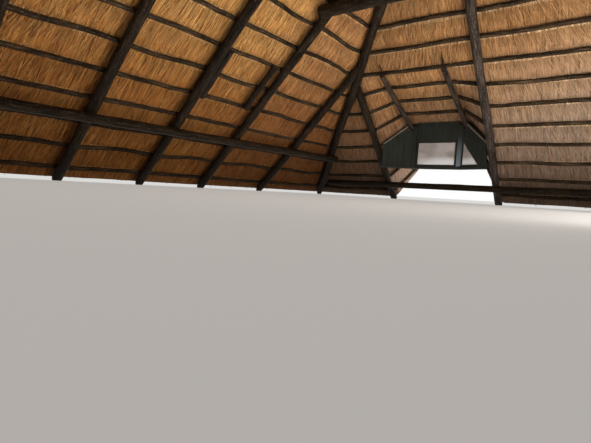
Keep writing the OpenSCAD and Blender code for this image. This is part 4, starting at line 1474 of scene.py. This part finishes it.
def make_panels():
    """The screen's three panels; the side ones are notched under the hood rafters."""
    middle = [(0, 0), (MID_LEN, 0), (MID_LEN, MID_TOP), (0, MID_TOP)]
    tall = [(NOTCH_U, 0), (SIDE_STOP, 0), (SIDE_STOP, rise(SIDE_STOP)), (NOTCH_U, rise(NOTCH_U))]
    short = [(SIDE_START, 0), (NOTCH_U, 0), (NOTCH_U, NOTCH_Z), (SIDE_START, NOTCH_Z)]
    board_panel("middle", round_square(middle), MID_LEN)
    board_panel("right", round_corner(tall) + round_corner(short), SIDE_LEN)
    board_panel("left", [tall, short], SIDE_LEN)


def make_cover_strips():
    """Rounded strips along the side panels' sloping top edges."""
    front = -BOARD_T / 2
    for side in ("left", "right"):
        part = bmesh.new()
        for vert in boxed(part, (NOTCH_U + STRIP_INSET, front - STRIP_T, 0),
                          (SIDE_STOP - STRIP_INSET, front - CONTACT, STRIP_W)):
            vert.co.z += rise(vert.co.x) - STRIP_DROP - STRIP_W
        rounded_piece(f"cover_strip_{side}", part, STRIP_ROUND, [STRIP], PANELS[side],
                      segments=3, profile=0.5)


def make_posts():
    """Fold posts: the left one painted like the boards, the right one greyer towards its foot."""
    part = bmesh.new()
    half = POST_W / 2
    for number, x in enumerate(POST_X):
        corners = boxed(part, (x - half, BOARD_Y - half, PANEL_Z),
                        (x + half, BOARD_Y + half, ROW_MID[2] - RB))
        for face in {f for vert in corners for f in vert.link_faces}:
            face.material_index = number
    rounded_piece("fold_posts", part, POST_ROUND, [BOARD, POST_PAINT], nodes=["screen_posts"])


def make_beads():
    """Glazing beads that hold the two lights."""
    w, out, inn = BEAD_W, -BOARD_T / 2 - BEAD_OUT, -BOARD_T / 2 + BEAD_DEEP
    u0, u1, z0, z1 = LIGHT
    square = ((u0, z0, u1, z0 + w), (u0, z1 - w, u1, z1),
              (u0, z0 + w, u0 + w, z1 - w), (u1 - w, z0 + w, u1, z1 - w))
    u2, u3, z3 = CORNER_U, CORNER_U + CORNER_LIGHT_W - BEAD_SHORT, LIGHT_UP + LIGHT_H - BEAD_SHORT
    corner = ((u2, z0, u3, z0 + w), (u2, z0 + w, u2 + w, z3))
    for name, bars, side in (("middle", square, "middle"), ("corner", corner, "right")):
        part = bmesh.new()
        for left, low, right, high in bars:
            boxed(part, (left, out, low), (right, inn, high))
        rounded_piece(f"beads_{name}", part, BEAD_ROUND, [BOARD], PANELS[side])


# Stage, light and camera

FLOOR_REACH = 400.0
FLOOR_Z = -0.001
FLOOR_OWN_TONE = 0.62
SKY = 0.70


def make_stage():
    """Pale floor: part of its tone is its own for the camera, and the rest takes the shadows."""
    floor = Paint("stage_floor", Base_Color=(0.80, 0.79, 0.77, 1), Roughness=0.9)
    glow = floor.node("Emission", {"Color": (0.66, 0.645, 0.62, 1)}).outputs[0]
    weight = floor.maths("MULTIPLY", floor.seen_by("Is Camera Ray", "Is Glossy Ray"), FLOOR_OWN_TONE)
    floor.show(floor.tree.nodes["Material Output"], weight, floor.shader.outputs[0], glow)
    part = bmesh.new()
    bmesh.ops.create_grid(part, x_segments=2, y_segments=2, size=FLOOR_REACH)
    plate = linked("floor", from_bmesh("floor", part))
    plate.location.z = FLOOR_Z
    plate.data.materials.append(floor.material)


def make_world():
    """Studio sky that lights the scene, and plain white where it is seen."""
    world = bpy.data.worlds.new("studio")
    bpy.context.scene.world = world
    world.use_nodes = True
    world.node_tree.nodes.clear()
    studio = Nodes(world.node_tree)
    seen = studio.seen_by("Is Camera Ray", "Is Glossy Ray", "Is Transmission Ray")
    light = studio.node("Background", {"Color": (0.95, 0.97, 1.0, 1), "Strength": SKY}).outputs[0]
    white = studio.node("Background", {"Color": (1, 1, 1, 1)}).outputs[0]
    studio.show(studio.node("OutputWorld"), seen, light, white)


def lamp(name, kind, power, colour, **settings):
    data = bpy.data.lights.new(name, kind)
    data.energy = power
    data.color = colour
    for key, value in settings.items():
        setattr(data, key, value)
    return linked(name, data)


def area_lamp(name, at, towards, size, power, colour=(1, 1, 1)):
    """A lamp that isn't seen itself."""
    made = lamp(name, "AREA", power, colour, shape="RECTANGLE", size=size[0], size_y=size[1])
    made.location = at
    made.rotation_mode = "QUATERNION"
    made.rotation_quaternion = (Vector(towards) - Vector(at)).to_track_quat("-Z", "Y")
    made.visible_camera = False
    made.visible_glossy = False


def make_lights():
    """Soft light from below and from the right inside, and from the sky outside."""
    make_world()
    area_lamp("room_up", (0.2, 0.9, 0.10), (0.2, 0.9, 3.0), (5.0, 6.0), 104, (1.0, 0.985, 0.96))
    area_lamp("room_right", (2.20, 0.6, 0.42), (-1.7, 0.6, 2.9), (4.4, 0.90), 142, (1.0, 0.98, 0.95))
    area_lamp("porch", (-0.97, 4.95, 0.12), (-0.97, 4.95, 2.0), (1.6, 0.9), 16)
    sun = lamp("sky_key", "SUN", 1.3, (1.0, 0.98, 0.95), angle=math.radians(40))
    sun.rotation_euler = (math.radians(42), 0, math.radians(-35))


def turned(a, b, angle):
    """Two directions turned together, the first towards the second."""
    c, s = math.cos(angle), math.sin(angle)
    return a * c + b * s, b * c - a * s


def make_camera():
    """Camera at the photograph's place and angle."""
    ahead, left = turned(Vector((0, 1, 0)), Vector((-1, 0, 0)), CAMERA_YAW)
    up, ahead = turned(Vector((0, 0, 1)), ahead, CAMERA_PITCH)
    right, up = turned(-left, up, CAMERA_ROLL)
    data = bpy.data.cameras.new("camera")
    data.sensor_width = 36.0
    data.lens = FOCAL_PX * data.sensor_width / IMAGE_W
    camera = linked("camera", data)
    axes = Matrix((right, up, -ahead)).transposed()
    camera.matrix_world = Matrix.Translation(CAMERA_AT) @ axes.to_4x4()
    bpy.context.scene.camera = camera


for make in (make_camera, make_stage, make_lights, make_rafters, make_collars, make_ridge_pole,
             make_trimmers, make_plates, make_hood_poles, make_battens, make_coat, make_ridge_cap,
             make_panels, make_cover_strips, make_posts, make_beads):
    make()

for name, material in (("screen_glass", GLASS), ("screen_sill", BOARD)):
    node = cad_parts[name]
    node.data.materials.clear()
    node.data.materials.append(material)

bpy.context.scene.view_settings.view_transform = "Standard"
